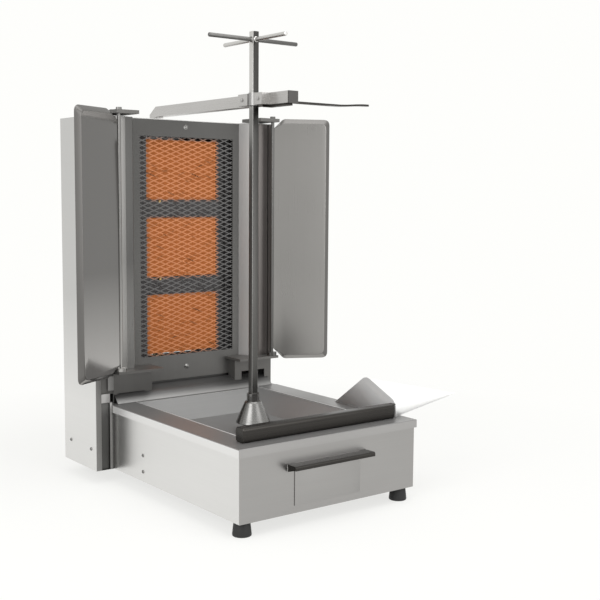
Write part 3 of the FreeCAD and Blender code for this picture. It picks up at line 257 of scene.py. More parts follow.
@dataclass(frozen=True)
class Steel(Finish):
    """Brushed or polished sheet steel with grain, smudges and a painted shade or highlight that
    drifts with height.
    """

    grain: Axis = X
    rough: float = 0.32
    streak: float = 0.10
    metallic: float = 1.0
    # Painted light and shade: top is the colour's level at the top of the drift, below 1 a painted
    # shade and above 1 a painted highlight; the next field holds the heights of the drift.
    top: float = 1.0
    shade_fade: Pair = (0.1, 0.55)

    def tint(self, paint: Paint, tone: Value) -> Socket:
        """The sheet's colour, from the streaks' tone and a painted shade or highlight by height."""
        low, high = 1 - self.streak, 1 + self.streak
        sheen = paint.tones(tone, self.colour, low, high)
        if self.top == 1.0:
            return sheen
        rise = paint.ramp(paint.axes()[2], *self.shade_fade)
        return paint.mix(rise, sheen, paint.tones(tone, self.colour, self.top * low, self.top))

    def sockets(self, paint: Paint) -> dict[str, object]:
        """Long thin noise along the grain drives tone, roughness and bump.

        The tone also drifts with height, a painted shade where top is below 1 and a painted
        highlight where it is above 1, from 1 at the low end of the drift's span to top at its high
        end.
        """
        hair = paint.noise(stretched(self.grain, *HAIR), 3.0)
        band = paint.noise(stretched(self.grain, *BAND), 2.0)
        cloud = paint.noise(CLOUD, 3.0)
        tone = paint.ramp(hair * 0.4 + band * 0.25 + cloud * 0.35, 0.3, 0.7)
        return {
            "Base Color": self.tint(paint, tone),
            "Metallic": self.metallic,
            "Roughness": (hair - 0.5) * 0.1 + self.rough + (cloud - 0.5) * 0.08,
            "Normal": paint.bump(hair, 0.00004, 0.35),
        }


@dataclass(frozen=True)
class LippedSteel(Steel):
    """Sheet steel whose turned-down lips carry on the painted light and shade of the panels under
    them.
    """

    side: Triple = LIT_WALL_TONE
    front: Triple = SHADED_PLATE_TONE
    plane: float = 0.1755
    ahead: float = -0.368

    def tint(self, paint: Paint, tone: Value) -> Socket:
        """The flat's colour above the plane; below it, the front's painted shade on the front lip
        and the side's painted light on the side lips.
        """
        _, y, z = paint.axes()
        lip = paint.mix(y.above(self.ahead), shade(self.front), shade(self.side))
        return paint.mix(z.above(self.plane), lip, super().tint(paint, tone))


@dataclass(frozen=True)
class GlowLitNet(Finish):
    """Grey steel strands with painted glow light: brown colour and emission where a hot plaque
    stands behind them.
    """

    glow: Triple
    middle: float
    half_wide: float
    half_tall: float
    levels: tuple[float, ...]
    soft: float = 0.006

    def sockets(self, paint: Paint) -> dict[str, object]:
        """A box mask per plaque, from object x and z, mixes the painted glow light over the grey.
        """
        x, _, z = paint.axes()

        def within(offset: Value, half: float) -> Value:
            """1 where an offset is less than a half size, with a soft edge."""
            return paint.ramp(offset.size(), half + self.soft, half - self.soft)

        rows = [within(z - level, self.half_tall) for level in self.levels]
        hot = sum(rows[1:], rows[0]) * within(x - self.middle, self.half_wide)
        speck = paint.noise(260.0)
        cold = paint.tones(speck, self.colour, 0.8, 1.2)
        painted_glow = paint.tones(speck, self.glow, 0.8, 1.25)
        return {
            "Base Color": paint.mix(hot, cold, painted_glow),
            "Metallic": 0.2,
            "Roughness": (speck - 0.5) * 0.2 + 0.42,
            "Emission Color": paint.mix(hot, (0, 0, 0, 1), shade(self.glow)),
            "Emission Strength": 0.14,
            "Normal": paint.bump(speck, 0.0001),
        }


@dataclass(frozen=True)
class HotCeramic(Finish):
    """Glowing burner ceramic with rows of tiny flame holes."""

    glow: Triple
    pitch: float = 0.0032

    def sockets(self, paint: Paint) -> dict[str, object]:
        """A product of two sine waves, a pitch apart, gives the holes, painted slightly darker as
        shade; noise the hot patches.
        """
        x, _, z = paint.axes()
        across, up = [paint.math("SINE", way * (math.pi / self.pitch), 0.0) for way in (x, z)]
        deep = paint.ramp((across * up).size(), 0.95, 0.35)
        patch = paint.noise(22.0)
        face, hot = [paint.tones(patch, colour, 0.92, 1.08) for colour in (self.colour, self.glow)]
        return {
            "Base Color": paint.mix(deep, shade(self.colour, 0.96), face),
            "Roughness": patch * -0.1 + 0.85,
            "Emission Color": paint.mix(deep, shade(self.glow, 0.96), hot),
            "Emission Strength": 0.26,
        }


@dataclass(frozen=True)
class Grained(Finish):
    """Rubber or plastic with a fine moulded grain, and patches of dust and handling."""

    rough: float = 0.5
    grain: float = 1800.0
    depth: float = 0.00005
    strength: float = 1.0
    patch: float = 45.0
    levels: Pair = (0.8, 1.35)
    spread: float = 0.2
    metallic: float = 0.0

    def sockets(self, paint: Paint) -> dict[str, object]:
        """Fine noise for the grain, broad noise for tone and roughness."""
        grain = paint.noise(self.grain)
        patch = paint.noise(self.patch, 3.0)
        return {
            "Base Color": paint.tones(patch, self.colour, *self.levels),
            "Metallic": self.metallic,
            "Roughness": (patch - 0.5) * self.spread + self.rough,
            "Normal": paint.bump(grain, self.depth, self.strength),
        }


@dataclass(frozen=True)
class Casting(Grained):
    """Cast or machined metal: a sandy skin with dull and bright spots."""

    grain: float = 1500.0
    depth: float = 0.00012
    strength: float = 0.7
    patch: float = 90.0
    levels: Pair = (0.75, 1.15)
    spread: float = 0.25
    metallic: float = 1.0


class Look(Enum):
    """Every finish of the grill."""

    # Many finishes below are lit and shaded copies of one steel, painted light and shade: the side
    # walls against the front plates, the column faces, the two wings and their pins, the skewer's
    # faces, the duct's cover and plate. Their height drifts are painted shade and highlight.
    SIDE = Steel(LIT_WALL_TONE, Y, 0.32, 0.025, 1.0, 0.75, (0.18, 0.42))
    FRONT = Steel(SHADED_PLATE_TONE, X, 0.34, 0.03)
    REAR = Steel((0.5, 0.495, 0.49), X, 0.34, 0.05)
    DECK = LippedSteel((0.27, 0.266, 0.262), X, 0.36, 0.06, 0.55)
    PAN = Steel((0.265, 0.265, 0.262), X, 0.42, 0.06, 0.3)
    TOWER = Steel((0.15, 0.147, 0.141), Z, 0.42, 0.06, 0.6, 0.62, (0.25, 0.65))
    COLUMN = Steel((0.17, 0.166, 0.16), Z, 0.24, 0.08, 1.0, 0.68, (0.25, 0.5))
    COLUMN_LIGHT = Steel((0.42, 0.412, 0.4), Z, 0.3, 0.08, 1.0, 0.53, (0.25, 0.5))
    COLUMN_MID = Steel((0.31, 0.305, 0.297), Z, 0.3, 0.08, 1.0, 0.42, (0.25, 0.5))
    COLUMN_RIGHT = Steel((0.14, 0.127, 0.12), Z, 0.3, 0.1, 0.5)
    FLARE = Steel((0.42, 0.413, 0.405), Z, 0.36, 0.04, 0.45)
    LUG = Steel((0.14, 0.136, 0.13), X, 0.45, 0.08, 0.6)
    WING_LEFT = Steel((0.43, 0.42, 0.41), Z, 0.1, 0.03, 1.0, 0.41, (0.24, 0.48))
    WING_RIGHT = Steel((0.31, 0.302, 0.292), Z, 0.3, 0.03, 1.0, 0.89, (0.26, 0.48))
    # Painted shade: the wings' slanted rims, darkened against their bright reflection.
    RIM = Steel((0.165, 0.16, 0.155), Z, 0.34, 0.05)
    PIN = Steel((0.14, 0.138, 0.134), Z, 0.3, 0.08)
    BELL = Steel((0.21, 0.207, 0.202), Z, 0.28, 0.06)
    BACK = Steel((0.3, 0.297, 0.292), X, 0.4, 0.06, 0.6, 0.42, (0.18, 0.189))
    BACKING = Steel((0.085, 0.082, 0.083), X, 0.6, 0.1, 0.2)
    SHADOW = Steel((0.04, 0.038, 0.038), X, 0.6, 0.1, 0.2)
    EDGE = Steel((0.24, 0.236, 0.23), Z, 0.38, 0.05, 0.8)
    BRIGHT = Steel((0.24, 0.236, 0.23), Z, 0.14, 0.08)
    SKEWER = Steel((0.098, 0.096, 0.092), Z, 0.28, 0.08, 1.0, 0.7, (0.35, 0.7))
    SKEWER_SIDE = Steel((0.24, 0.237, 0.23), Z, 0.34, 0.06, 1.0, 2.5, (0.83, 0.88))
    COLLAR = Steel((0.34, 0.335, 0.33), Z, 0.42, 0.06)
    ROD = Steel((0.15, 0.148, 0.143), X, 0.24, 0.1)
    DARK = Steel((0.05, 0.047, 0.044), X, 0.28, 0.14)
    CAP = Steel((0.09, 0.087, 0.085), X, 0.4, 0.08)
    ARM = Steel((0.5, 0.49, 0.48), Y, 0.28, 0.06)
    SCOOP = Steel((0.93, 0.93, 0.925), X, 0.42, 0.02, 0.55)
    INNER = Steel((0.1, 0.099, 0.096), Z, 0.5, 0.1)
    NET = GlowLitNet(
        (0.11, 0.107, 0.105),
        (0.47, 0.175, 0.068),
        (SHIFT[0] - 10) * MM,
        0.096,
        0.07,
        tuple(level * MM for level in PLAQUE_MIDDLES),
    )
    CERAMIC = HotCeramic((0.37, 0.118, 0.03), (0.5, 0.15, 0.034))
    RUBBER = Grained((0.012, 0.012, 0.012), 0.62, 900.0, 0.0001)
    PLASTIC = Grained((0.02, 0.02, 0.021), 0.38)
    MARK = Grained((0.75, 0.75, 0.73), 0.45)
    BRASS = Casting((0.62, 0.44, 0.2), 0.3)
    ALLOY = Casting((0.38, 0.38, 0.38), 0.48)


@dataclass
class Shape:
    """Corners and faces of one surface, in machine millimetres."""

    corners: np.ndarray
    faces: list

    def __add__(self, other: Shape) -> Shape:
        """Both surfaces in one."""
        count = len(self.corners)
        moved = [tuple(i + count for i in face) for face in other.faces]
        return Shape(np.vstack([self.corners, other.corners]), self.faces + moved)


def together(shapes: list[Shape]) -> Shape:
    """Join several surfaces into one."""
    return sum(shapes[1:], shapes[0])


def grid(points: np.ndarray, closed: bool = True) -> Shape:
    """A surface from a grid of points.

    Args:
        points: Array (rows, columns, 3); rows run along the piece, columns go round it.
        closed: True joins the last column to the first and caps the first and last row.

    Returns:
        The surface, whose quads are (r, c), (r, c+1), (r+1, c+1), (r+1, c).
    """
    rows, columns = points.shape[:2]
    index = np.arange(rows * columns).reshape(rows, columns)
    after = np.roll(index, -1, axis=1) if closed else index[:, 1:]
    here = index if closed else index[:, :-1]
    quads = np.stack([here[:-1], after[:-1], after[1:], here[1:]], axis=-1).reshape(-1, 4)
    faces = [tuple(q) for q in quads.tolist()]
    if closed:
        faces += [tuple(index[0][::-1].tolist()), tuple(index[-1].tolist())]
    return Shape(points.reshape(-1, 3), faces)


def turned(
    profile: list[Pair],
    spot: Triple,
    axis: Axis,
    sign: float = 1.0,
    flutes: int = 0,
    segments: int = 48,
) -> Shape:
    """A piece turned on a lathe.

    The point at angle a of ring (r, h) is spot + h along the axis + r (cos a, sin a) across it;
    flutes scale r by 1 + FLUTE cos(flutes a).

    Args:
        profile: Radius and height of each ring.
        spot: Where height 0 is.
        axis: The way the axis runs.
        sign: -1 turns the piece end for end.
        flutes: Ribs round the rim.
        segments: Points in each ring.

    Returns:
        The closed surface.
    """
    rings = np.array(profile, float)
    angle = np.linspace(0, 2 * math.pi, segments, endpoint=False)
    wave = 1 + FLUTE * np.cos(flutes * angle) if flutes else np.ones(segments)
    across = rings[:, :1] * wave
    local = np.zeros((len(rings), segments, 3))
    local[..., (axis.value + 1) % 3] = across * np.cos(angle)
    local[..., (axis.value + 2) % 3] = across * np.sin(angle) * sign
    local[..., axis.value] = rings[:, 1:] * sign
    return grid(local + np.array(spot, float))


def rounded(
    points: list[Pair], radius: float | list, steps: int = 5, closed: bool = False
) -> np.ndarray:
    """A polyline with its corners rounded.

    Corner P becomes the curve (1-t)^2 A + 2t(1-t) P + t^2 B; A and B lie a radius away from it.

    Args:
        points: Corners in a plane.
        radius: Length taken from each side of a corner, for all or for each.
        steps: Points on each rounded corner.
        closed: True if the last point joins the first.

    Returns:
        Array (n, 2).
    """
    line = np.array(points, float)
    count = len(line)
    t = np.linspace(0, 1, steps)[:, None]
    radii = radius if isinstance(radius, list) else [radius] * count
    out = []
    for i, here in enumerate(line):
        if not closed and i in (0, count - 1):
            out.append(line[i : i + 1])
            continue
        back, on = line[i - 1] - here, line[(i + 1) % count] - here
        long_back, long_on = np.linalg.norm(back), np.linalg.norm(on)
        reach = min(radii[i], long_back / 2.01, long_on / 2.01)
        start, stop = here + back / long_back * reach, here + on / long_on * reach
        out.append((1 - t) ** 2 * start + 2 * t * (1 - t) * here + t**2 * stop)
    return np.vstack(out)


def sheet_section(line: np.ndarray, thick: float) -> np.ndarray:
    """The outline of a folded sheet: the fold line moved half the thickness to each side.

    Args:
        line: The fold line, array (n, 2).
        thick: The sheet's thickness.

    Returns:
        Array (2n, 2), out along one side and back along the other.
    """
    way = np.gradient(line, axis=0)
    way /= np.linalg.norm(way, axis=1, keepdims=True)
    normal = np.stack([-way[:, 1], way[:, 0]], axis=1) * thick / 2
    return np.vstack([line + normal, (line - normal)[::-1]])


def bar(section: np.ndarray, axis: Axis, low: float, high: float, edge: float = 0.4) -> Shape:
    """A section carried straight along an axis.

    At both ends it is drawn in towards its middle, by 1 - edge / reach.

    Args:
        section: Closed outline (n, 2) in the other two axes.
        axis: The way it is carried.
        low: Where it starts.
        high: Where it ends.
        edge: How far it is drawn in.

    Returns:
        The closed surface.
    """
    middle = (section.max(0) + section.min(0)) / 2
    reach = np.maximum((section.max(0) - section.min(0)) / 2, 0.01)
    small = middle + (section - middle) * (1 - np.minimum(edge / reach, 0.4))
    places = [(low, small), (low + edge, section), (high - edge, section), (high, small)]
    points = np.zeros((4, len(section), 3))
    for row, (place, outline) in zip(points, places):
        row[:, [way.value for way in Axis if way is not axis]] = outline
        row[:, axis.value] = place
    return grid(points)


def slab(low: Triple, high: Triple, edge: float = 0.5) -> Shape:
    """A block with softened edges between two corners, carried along its longest side."""
    lows, highs = np.array(low, float), np.array(high, float)
    along = int(np.argmax(highs - lows))
    (a0, b0), (a1, b1) = np.delete(lows, along), np.delete(highs, along)
    outline = rounded([(a0, b0), (a1, b0), (a1, b1), (a0, b1)], edge, 4, True)
    return bar(outline, Axis(along), lows[along], highs[along], edge)


def screw_head(spot: Triple, axis: Axis, sign: float, radius: float = 4, tall: float = 2) -> Shape:
    """A domed screw head with a round socket sunk in it."""
    shares = [(1, 0), (1, 0.25), (0.93, 0.6), (0.78, 0.86), (0.5, 1), (0.42, 1), (0.38, 0.45)]
    profile = [(radius * wide, tall * high) for wide, high in shares] + [(TIP, tall * 0.4)]
    return turned(profile, spot, axis, sign, segments=24)


@dataclass
class Assembly:
    """A group of the grill's pieces, and the tools to make them; materials are shared by all."""

    made: dict[Look, Material]

    def material(self, look: Look) -> Material:
        """Build a look's material at its first use and keep it."""
        if look not in self.made:
            self.made[look] = look.value.build(look.name.lower())
        return self.made[look]

    def piece(
        self,
        name: str,
        shape: Shape,
        look: Look,
        *replaces: str,
        body: str = "base",
        slot: str = PANEL,
        sharp: float = 35.0,
        others: tuple[Look, ...] = (),
        choose: Callable[[np.ndarray, Vector], int] | None = None,
    ) -> bpy.types.Object:
        """Make one piece.

        Args:
            name: Its name.
            shape: Its surface.
            look: Its finish.
            replaces: The solids that it stands for.
            body: The body that it rides on.
            slot: A material slot name; not used.
            sharp: Edges above this angle in degrees stay sharp.
            others: Further finishes.
            choose: A face's finish number, from its centre and normal.

        Returns:
            The object.
        """
        mesh = bpy.data.meshes.new(name)
        mesh.from_pydata(machine(shape.corners).tolist(), [], shape.faces)
        mesh.validate()
        self.outward(mesh)
        mesh.polygons.foreach_set("use_smooth", [True] * len(mesh.polygons))
        mesh.set_sharp_from_angle(angle=math.radians(sharp))
        for worn in (look, *others):
            mesh.materials.append(self.material(worn))
        for face in mesh.polygons if others else ():
            face.material_index = choose(np.array(face.center) / MM - SHIFT, face.normal)
        made = bpy.data.objects.new(name, mesh)
        bpy.context.scene.collection.objects.link(made)
        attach(made, body)
        if replaces:
            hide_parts(*replaces)
        LOG.info("piece %s: %d faces", name, len(mesh.polygons))
        return made

    def plates(self, name: str, boxes: list[Box], look: Look, edge: float = 0.3) -> None:
        """Make one piece of the base out of thin blocks, each between two corners."""
        self.piece(name, together([slab(*box, edge) for box in boxes]), look)

    @staticmethod
    def outward(mesh: bpy.types.Mesh) -> None:
        """Merge doubled corners and turn every face of a closed shell outwards."""
        work = bmesh.new()
        work.from_mesh(mesh)
        bmesh.ops.remove_doubles(work, verts=work.verts, dist=1e-6)
        bmesh.ops.recalc_face_normals(work, faces=work.faces)
        work.to_mesh(mesh)
        work.free()

    def dress(self, look: Look, *nodes: str) -> None:
        """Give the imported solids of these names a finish."""
        material = self.material(look)
        for name in nodes:
            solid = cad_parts[name]
            solid.data.materials.clear()
            solid.data.materials.append(material)
            LOG.info("solid %s wears %s", name, look.name)


@dataclass
class BaseBox(Assembly):
    """The base: feet, side panels, deck, pan, front rail, screws and the drive under the pan."""

    foot_x: float = 203.0
    foot_y: Pair = (-480.0, 130.0)
    foot_z: Pair = (28.6, 30.0)
    rail_half: float = 196.0
    rail_y: Pair = (-474.0, -447.0)
    rail_z: Pair = (177.0, 207.0)
    rail_lip: Triple = (9.0, 6.0, 2.0)
    mouth_half: float = 168.0
    bead: Pair = (1.2, 0.7)
    back_half: float = 215.0

    def feet(self) -> None:
        """Tapered rubber feet with a rounded rim and a steel washer on top."""
        low, top = self.foot_z
        pad = [(TIP, 0), (12, 0), (12.5, 0.6), (17.6, 0.6), (18.8, 1.6), (19, 4)]
        pad += [(16.4, 27), (15.2, low), (TIP, low)]
        washer = [(TIP, low), (17, low), (17, top), (TIP, top)]
        spots = [(x, y, 0) for x in (-self.foot_x, self.foot_x) for y in self.foot_y]
        pads = together([turned(pad, spot, Z) for spot in spots])
        washers = together([turned(washer, spot, Z) for spot in spots])
        self.piece("foot_pads", pads, Look.RUBBER, "rubber_feet", slot="black_rubber")
        self.piece("foot_washers", washers, Look.ROD, slot=POLISHED)

    def rail(self) -> None:
        """Rounded bar along the front of the pan, with a short lip at its right end."""
        (y0, y1), (z0, z1) = self.rail_y, self.rail_z
        section = rounded([(y0, z0), (y1, z0), (y1, z1), (y0, z1)], 7.0, 8, True)
        shape = bar(section, X, -self.rail_half, self.rail_half, 1.2)
        out, back, thick = self.rail_lip
        start, end = (self.rail_half, y0 + back, z1 - thick), (self.rail_half + out, y1 - back, z1)
        whole = shape + slab(start, end)
        self.piece("rail_bar", whole, Look.DARK, "front_rail", slot=POLISHED)

    def pan_mouth(self) -> None:
        """Thin bead round the pan's mouth in near-white steel as a painted highlight, and the
        curved sheet that rises behind it.
        """
        half, near, low = self.mouth_half, self.rail_y[1], self.rail_z[0]
        wide, high = half + self.bead[0], low + self.bead[1]
        beads = [
            ((-wide, near, low), (-half, 0, high)),
            ((half, near, low), (wide, 0, high)),
            ((-wide, near - self.bead[0], low), (wide, near, high)),
        ]
        self.plates("pan_bead", beads, Look.SCOOP)
        # The sheet's finish turns darker from 180 to 189 mm high and stays so above: painted shade.
        line = rounded([(1.0, low + 0.5), (16, low + 18), (48.5, low + 27)], 14.0, 8)
        back = bar(sheet_section(line, 0.8), X, -self.back_half, self.back_half, 0.2)
        self.piece("pan_back", back, Look.BACK)

    def screws(self) -> None:
        """Domed screws of the left panels, the burner frame's hooks and the rear cover's screws."""
        spots = [(-225, -132, 88), (-225, -132, 52), (-270, 130, 79), (-270, 26.5, 77)]
        hook = [(6, 0), (6, 0.8), (3.6, 1.2), (3.4, 2.6), (2.2, 3), (TIP, 3)]
        heads = [screw_head(spot, X, -1.0) for spot in spots]
        heads += [turned(hook, (-5, 49, z), Y, -1.0) for z in (238, 809)]
        front = together(heads)
        self.piece("panel_screw_heads", front, Look.BRIGHT, "panel_screws", slot=POLISHED)
        rear = [(x, REAR_Y, z) for x in (-212, 212) for z in (60, 160, 330, 500, 670, 805)]
        rear += [(x, REAR_Y, 805) for x in (-110, 110)]
        back = together([screw_head(spot, Y, 1.0, 3.6, 1.8) for spot in rear])
        self.piece("rear_screw_heads", back, Look.BRIGHT, slot=POLISHED)

    def build(self) -> None:
        """Build the base's pieces and dress its solids."""
        self.feet()
        self.rail()
        self.pan_mouth()
        self.screws()
        self.dress(Look.SIDE, "base_side_left", "base_side_right")
        self.dress(Look.FRONT, "base_front")
        self.dress(Look.DECK, "deck")
        self.dress(Look.PAN, "fat_pan")
        self.dress(Look.INNER, "base_bottom", "motor_bracket", "drawer_runners")
        self.dress(Look.ALLOY, "gearbox", "drive_motor")


@dataclass
class Drawer(Assembly):
    """The grease drawer: front plate, folded pull and tray."""

    left: float = -95.0
    right: float = 73.0
    face: float = -504.3
    low: float = 45.0
    high: float = 131.0
    over: float = 18.0
    deep: float = 26.0
    wall: float = 1.5
    lip: float = 7.0

    def front(self) -> None:
        """Front plate with softened edges."""
        near = (self.left, self.face - self.wall, self.low)
        shape = slab(near, (self.right, self.face, self.high), 0.45)
        self.piece("drawer_face", shape, Look.FRONT, "drawer_front", body="drawer")

    def pull(self) -> None:
        """Shelf folded out of the plate's top, its lip turned down, with a cheek at each end."""
        half = self.wall / 2
        y, z = self.face - self.wall, self.high - half
        out = y - self.deep + half
        line = rounded([(y, z), (out, z), (out, z - self.lip - half)], 3.0, 7)
        x0, x1 = self.left - self.over, self.right + self.over
        shelf = bar(sheet_section(line, self.wall), X, x0, x1, 0.2)
        front, under = y - self.deep + 1.8, z - 0.8
        outline = [(y, self.high - 15), (y, under), (front, under), (front, z - self.lip)]
        cheek = rounded(outline, 0.8, 4, True)
        cheeks = [bar(cheek, X, x, x + self.wall, 0.2) for x in (x0 + 0.1, x1 - 0.1 - self.wall)]
        whole = together([shelf, *cheeks])
        self.piece("drawer_grip", whole, Look.DARK, "drawer_pull", body="drawer", slot=POLISHED)

    def build(self) -> None:
        """Build the drawer's pieces and dress its tray."""
        self.front()
        self.pull()
        self.dress(Look.INNER, "drawer_tray")


@dataclass
class Net(Assembly):
    """The expanded-metal guard in front of the burners."""

    half: float = 136.0
    low: float = 261.0
    high: float = 793.0
    pitch_x: float = 30.0
    pitch_z: float = 11.5
    strand: float = 2.3
    thick: float = 0.5
    tilt: float = 4.0
    y: float = 51.7
    apart: float = 0.06
    rim: float = 2.4

    def strands(self) -> Shape:
        """Slanting strands between the points of a staggered lattice.

        Lattice point (i, j) with i + j odd lies at (i pitch_x / 2, j pitch_z / 2). A strand joins
        it to (i + 1, j + 1) and (i + 1, j - 1); its section is a rectangle tilted about its line.

        Returns:
            All strands, each a closed bar of six faces.
        """
        cell = np.array([self.pitch_x, self.pitch_z]) / 2
        limit = np.array([self.half, (self.high - self.low) / 2])
        columns = int(self.half / cell[0]) + 1
        rows = int((self.high - self.low) / self.pitch_z) + 1
        across, up = np.arange(-columns, columns), np.arange(-rows, rows + 1)
        i, j = np.meshgrid(across, up, indexing="ij")
        keep = (i + j) % 2 != 0
        points = np.stack([i[keep], j[keep]], axis=1)
        lean = np.repeat([1.0, -1.0], len(points))
        start = np.vstack([points, points]) * cell
        stop = start + np.stack([np.ones(len(lean)), lean], axis=1) * cell
        inside = (np.abs(start) <= limit).all(axis=1) & (np.abs(stop) <= limit).all(axis=1)
        start, stop, lean = start[inside], stop[inside], lean[inside]
        line = (stop - start) / np.linalg.norm(stop - start, axis=1, keepdims=True)
        across = np.stack([-line[:, 1], np.zeros(len(line)), line[:, 0]], axis=1)
        ahead = np.array([0.0, 1.0, 0.0])
        cosine, sine = math.cos(math.radians(self.tilt)), math.sin(math.radians(self.tilt))
        wide = (across * cosine + ahead * sine) * self.strand / 2
        flat = (ahead * cosine - across * sine) * self.thick / 2
        depth, middle = self.y + self.apart * lean, (self.low + self.high) / 2
        ends = [np.stack([p[:, 0], depth, p[:, 1] + middle], axis=1) for p in (start, stop)]
        signs = ((-1, -1), (1, -1), (1, 1), (-1, 1))
        rings = [np.stack([end + a * wide + b * flat for a, b in signs], axis=1) for end in ends]
        sides = [(k, (k + 1) % 4, (k + 1) % 4 + 4, k + 4) for k in range(4)]
        pattern = np.array([*sides, (3, 2, 1, 0), (4, 5, 6, 7)])
        faces = (np.arange(len(start))[:, None, None] * 8 + pattern).reshape(-1, 4)
        return Shape(np.stack(rings, axis=1).reshape(-1, 3), [tuple(f) for f in faces.tolist()])

    def build(self) -> None:
        """The strands and the rim round them."""
        x, y0, y1, rim = self.half, self.y - 1, self.y + 1, self.rim
        edges = [
            slab((-x, y0, self.low), (x, y1, self.low + rim), 0.3),
            slab((-x, y0, self.high - rim), (x, y1, self.high), 0.3),
            slab((-x, y0, self.low), (-x + rim, y1, self.high), 0.3),
            slab((x - rim, y0, self.low), (x, y1, self.high), 0.3),
        ]
        shape = self.strands() + together(edges)
        self.piece("guard_net", shape, Look.NET, "burner_mesh")


@dataclass
class Tower(Assembly):
    """The burner tower with its shell, duct, burners and gas train."""

    inlet: Triple = (200.0, REAR_Y, 110.0)
    gland: Triple = (120.0, REAR_Y, 110.0)
    plaque_half: float = 96.6
    backing_half: float = 140.0
    backing_y: float = 76.0
    backing_z: Pair = (262.0, 795.0)
    groove: Pair = (11.0, 26.0)
    duct_x: Pair = (-270.0, -257.0)
    duct_z: Triple = (31.0, 184.0, 821.0)

    def backing(self) -> None:
        """Flat plates between and beside the plaques, in the plane of their faces."""
        half, far, (z0, z1) = self.plaque_half, self.backing_half, self.backing_z
        y0, y1 = self.backing_y - 0.4, self.backing_y + 0.4
        near, beyond = [half + reach for reach in self.groove]
        gaps = [
            ((-half, y0, low + PLAQUE_TALL + 0.6), (half, y1, above - 0.6))
            for low, above in zip(PLAQUE_LOWS, PLAQUE_LOWS[1:])
        ]
        spans = ((-far, -half), (half, near), (beyond, far))
        sides = [((x0, y0, z0), (x1, y1, z1)) for x0, x1 in spans]
        self.plates("plaque_backing", gaps + sides, Look.BACKING, 0.2)
        # The groove is a thin plate in the near-black shadow steel: painted shadow of the gap
        # beside the plaques.
        groove = ((near, self.backing_y + 2, z0), (beyond, self.backing_y + 3, z1))
        self.plates("plaque_groove", [groove], Look.SHADOW, 0.2)

    def gas_inlet(self) -> None:
        """Hexagon nut and a thread with rings of sawtooth section."""
        nut = turned([(8, 0), (14.4, 0), (14.4, 6), (8, 6)], self.inlet, Y, segments=6)
        profile = [(7.2, 6)]
        for h in np.arange(6, 21, 1.5):
            profile += [(9.6, h), (10.5, h + 0.6), (9.8, h + 1.2)]
        profile += [(9.4, 21.6), (8.6, 22), (7.0, 22), (7.0, 8), (TIP, 8)]
        shape = nut + turned(profile, self.inlet, Y)
        self.piece("inlet_thread", shape, Look.BRASS, "gas_inlet", slot="brass")

    def cable_gland(self) -> None:
        """Ribbed nut and a domed bush with the cable's hole."""
        rim = [(TIP, 0), (12, 0), (12, 5.4), (11.4, 6), (TIP, 6)]
        nut = turned(rim, self.gland, Y, flutes=18, segments=72)
        dome = [(10, 6), (9.8, 9), (9, 13), (7.4, 16.5), (6, 18), (4, 18), (4, 9), (TIP, 9)]
        shape = nut + turned(dome, self.gland, Y)
        self.piece("gland_bush", shape, Look.PLASTIC, "cable_gland", slot=PLASTIC)

    def duct_front(self) -> None:
        """The duct's lips, dark cover and light plate (painted shade and painted light on one
        steel), small box, a dark plate as the slot's painted shadow, and the stand's cover.
        """
        (left, slot), (low, sill, high) = self.duct_x, self.duct_z
        lips = [((left, -0.7, low), (slot, 0, high)), ((-236, -0.7, low), (-230, 0, sill))]
        self.plates("duct_lips", lips, Look.EDGE)
        self.plates("duct_cover", [((-256.8, 2.6, 203), (-226.2, 3.6, high))], Look.TOWER)
        self.plates("duct_plate", [((-257.2, 0.4, sill), (-235, 1.4, 204))], Look.FLARE)
        self.plates("duct_box", [((-241, -3, 211), (-227, 0.6, 244))], Look.EDGE, 0.6)
        # Painted shadow: a dark plate standing for the shaded gap between the base and the tower.
        self.plates("duct_slot", [((slot, 3, low), (-236, 4, sill))], Look.INNER)
        self.plates("stand_cover", [((-224.4, 18.6, 198), (-116.5, 19.9, 246.5))], Look.TOWER)

    def build(self) -> None:
        """Build the tower's pieces and dress its solids."""
        self.duct_front()
        self.backing()
        self.gas_inlet()
        self.cable_gland()
        self.dress(Look.SIDE, "duct_left", "tower_side_right")
        self.dress(Look.REAR, "rear_cover", "tower_top")
        self.dress(Look.TOWER, "burner_frame")
        self.dress(Look.INNER, "burner_boxes", "burner_supports", "duct_closures")
        self.dress(Look.LUG, "wing_lugs")
        self.dress(Look.CERAMIC, "ceramic_plaques")
        self.dress(Look.BRASS, "gas_manifold", "gas_taps")
        self.dress(Look.ALLOY, "post_brackets")


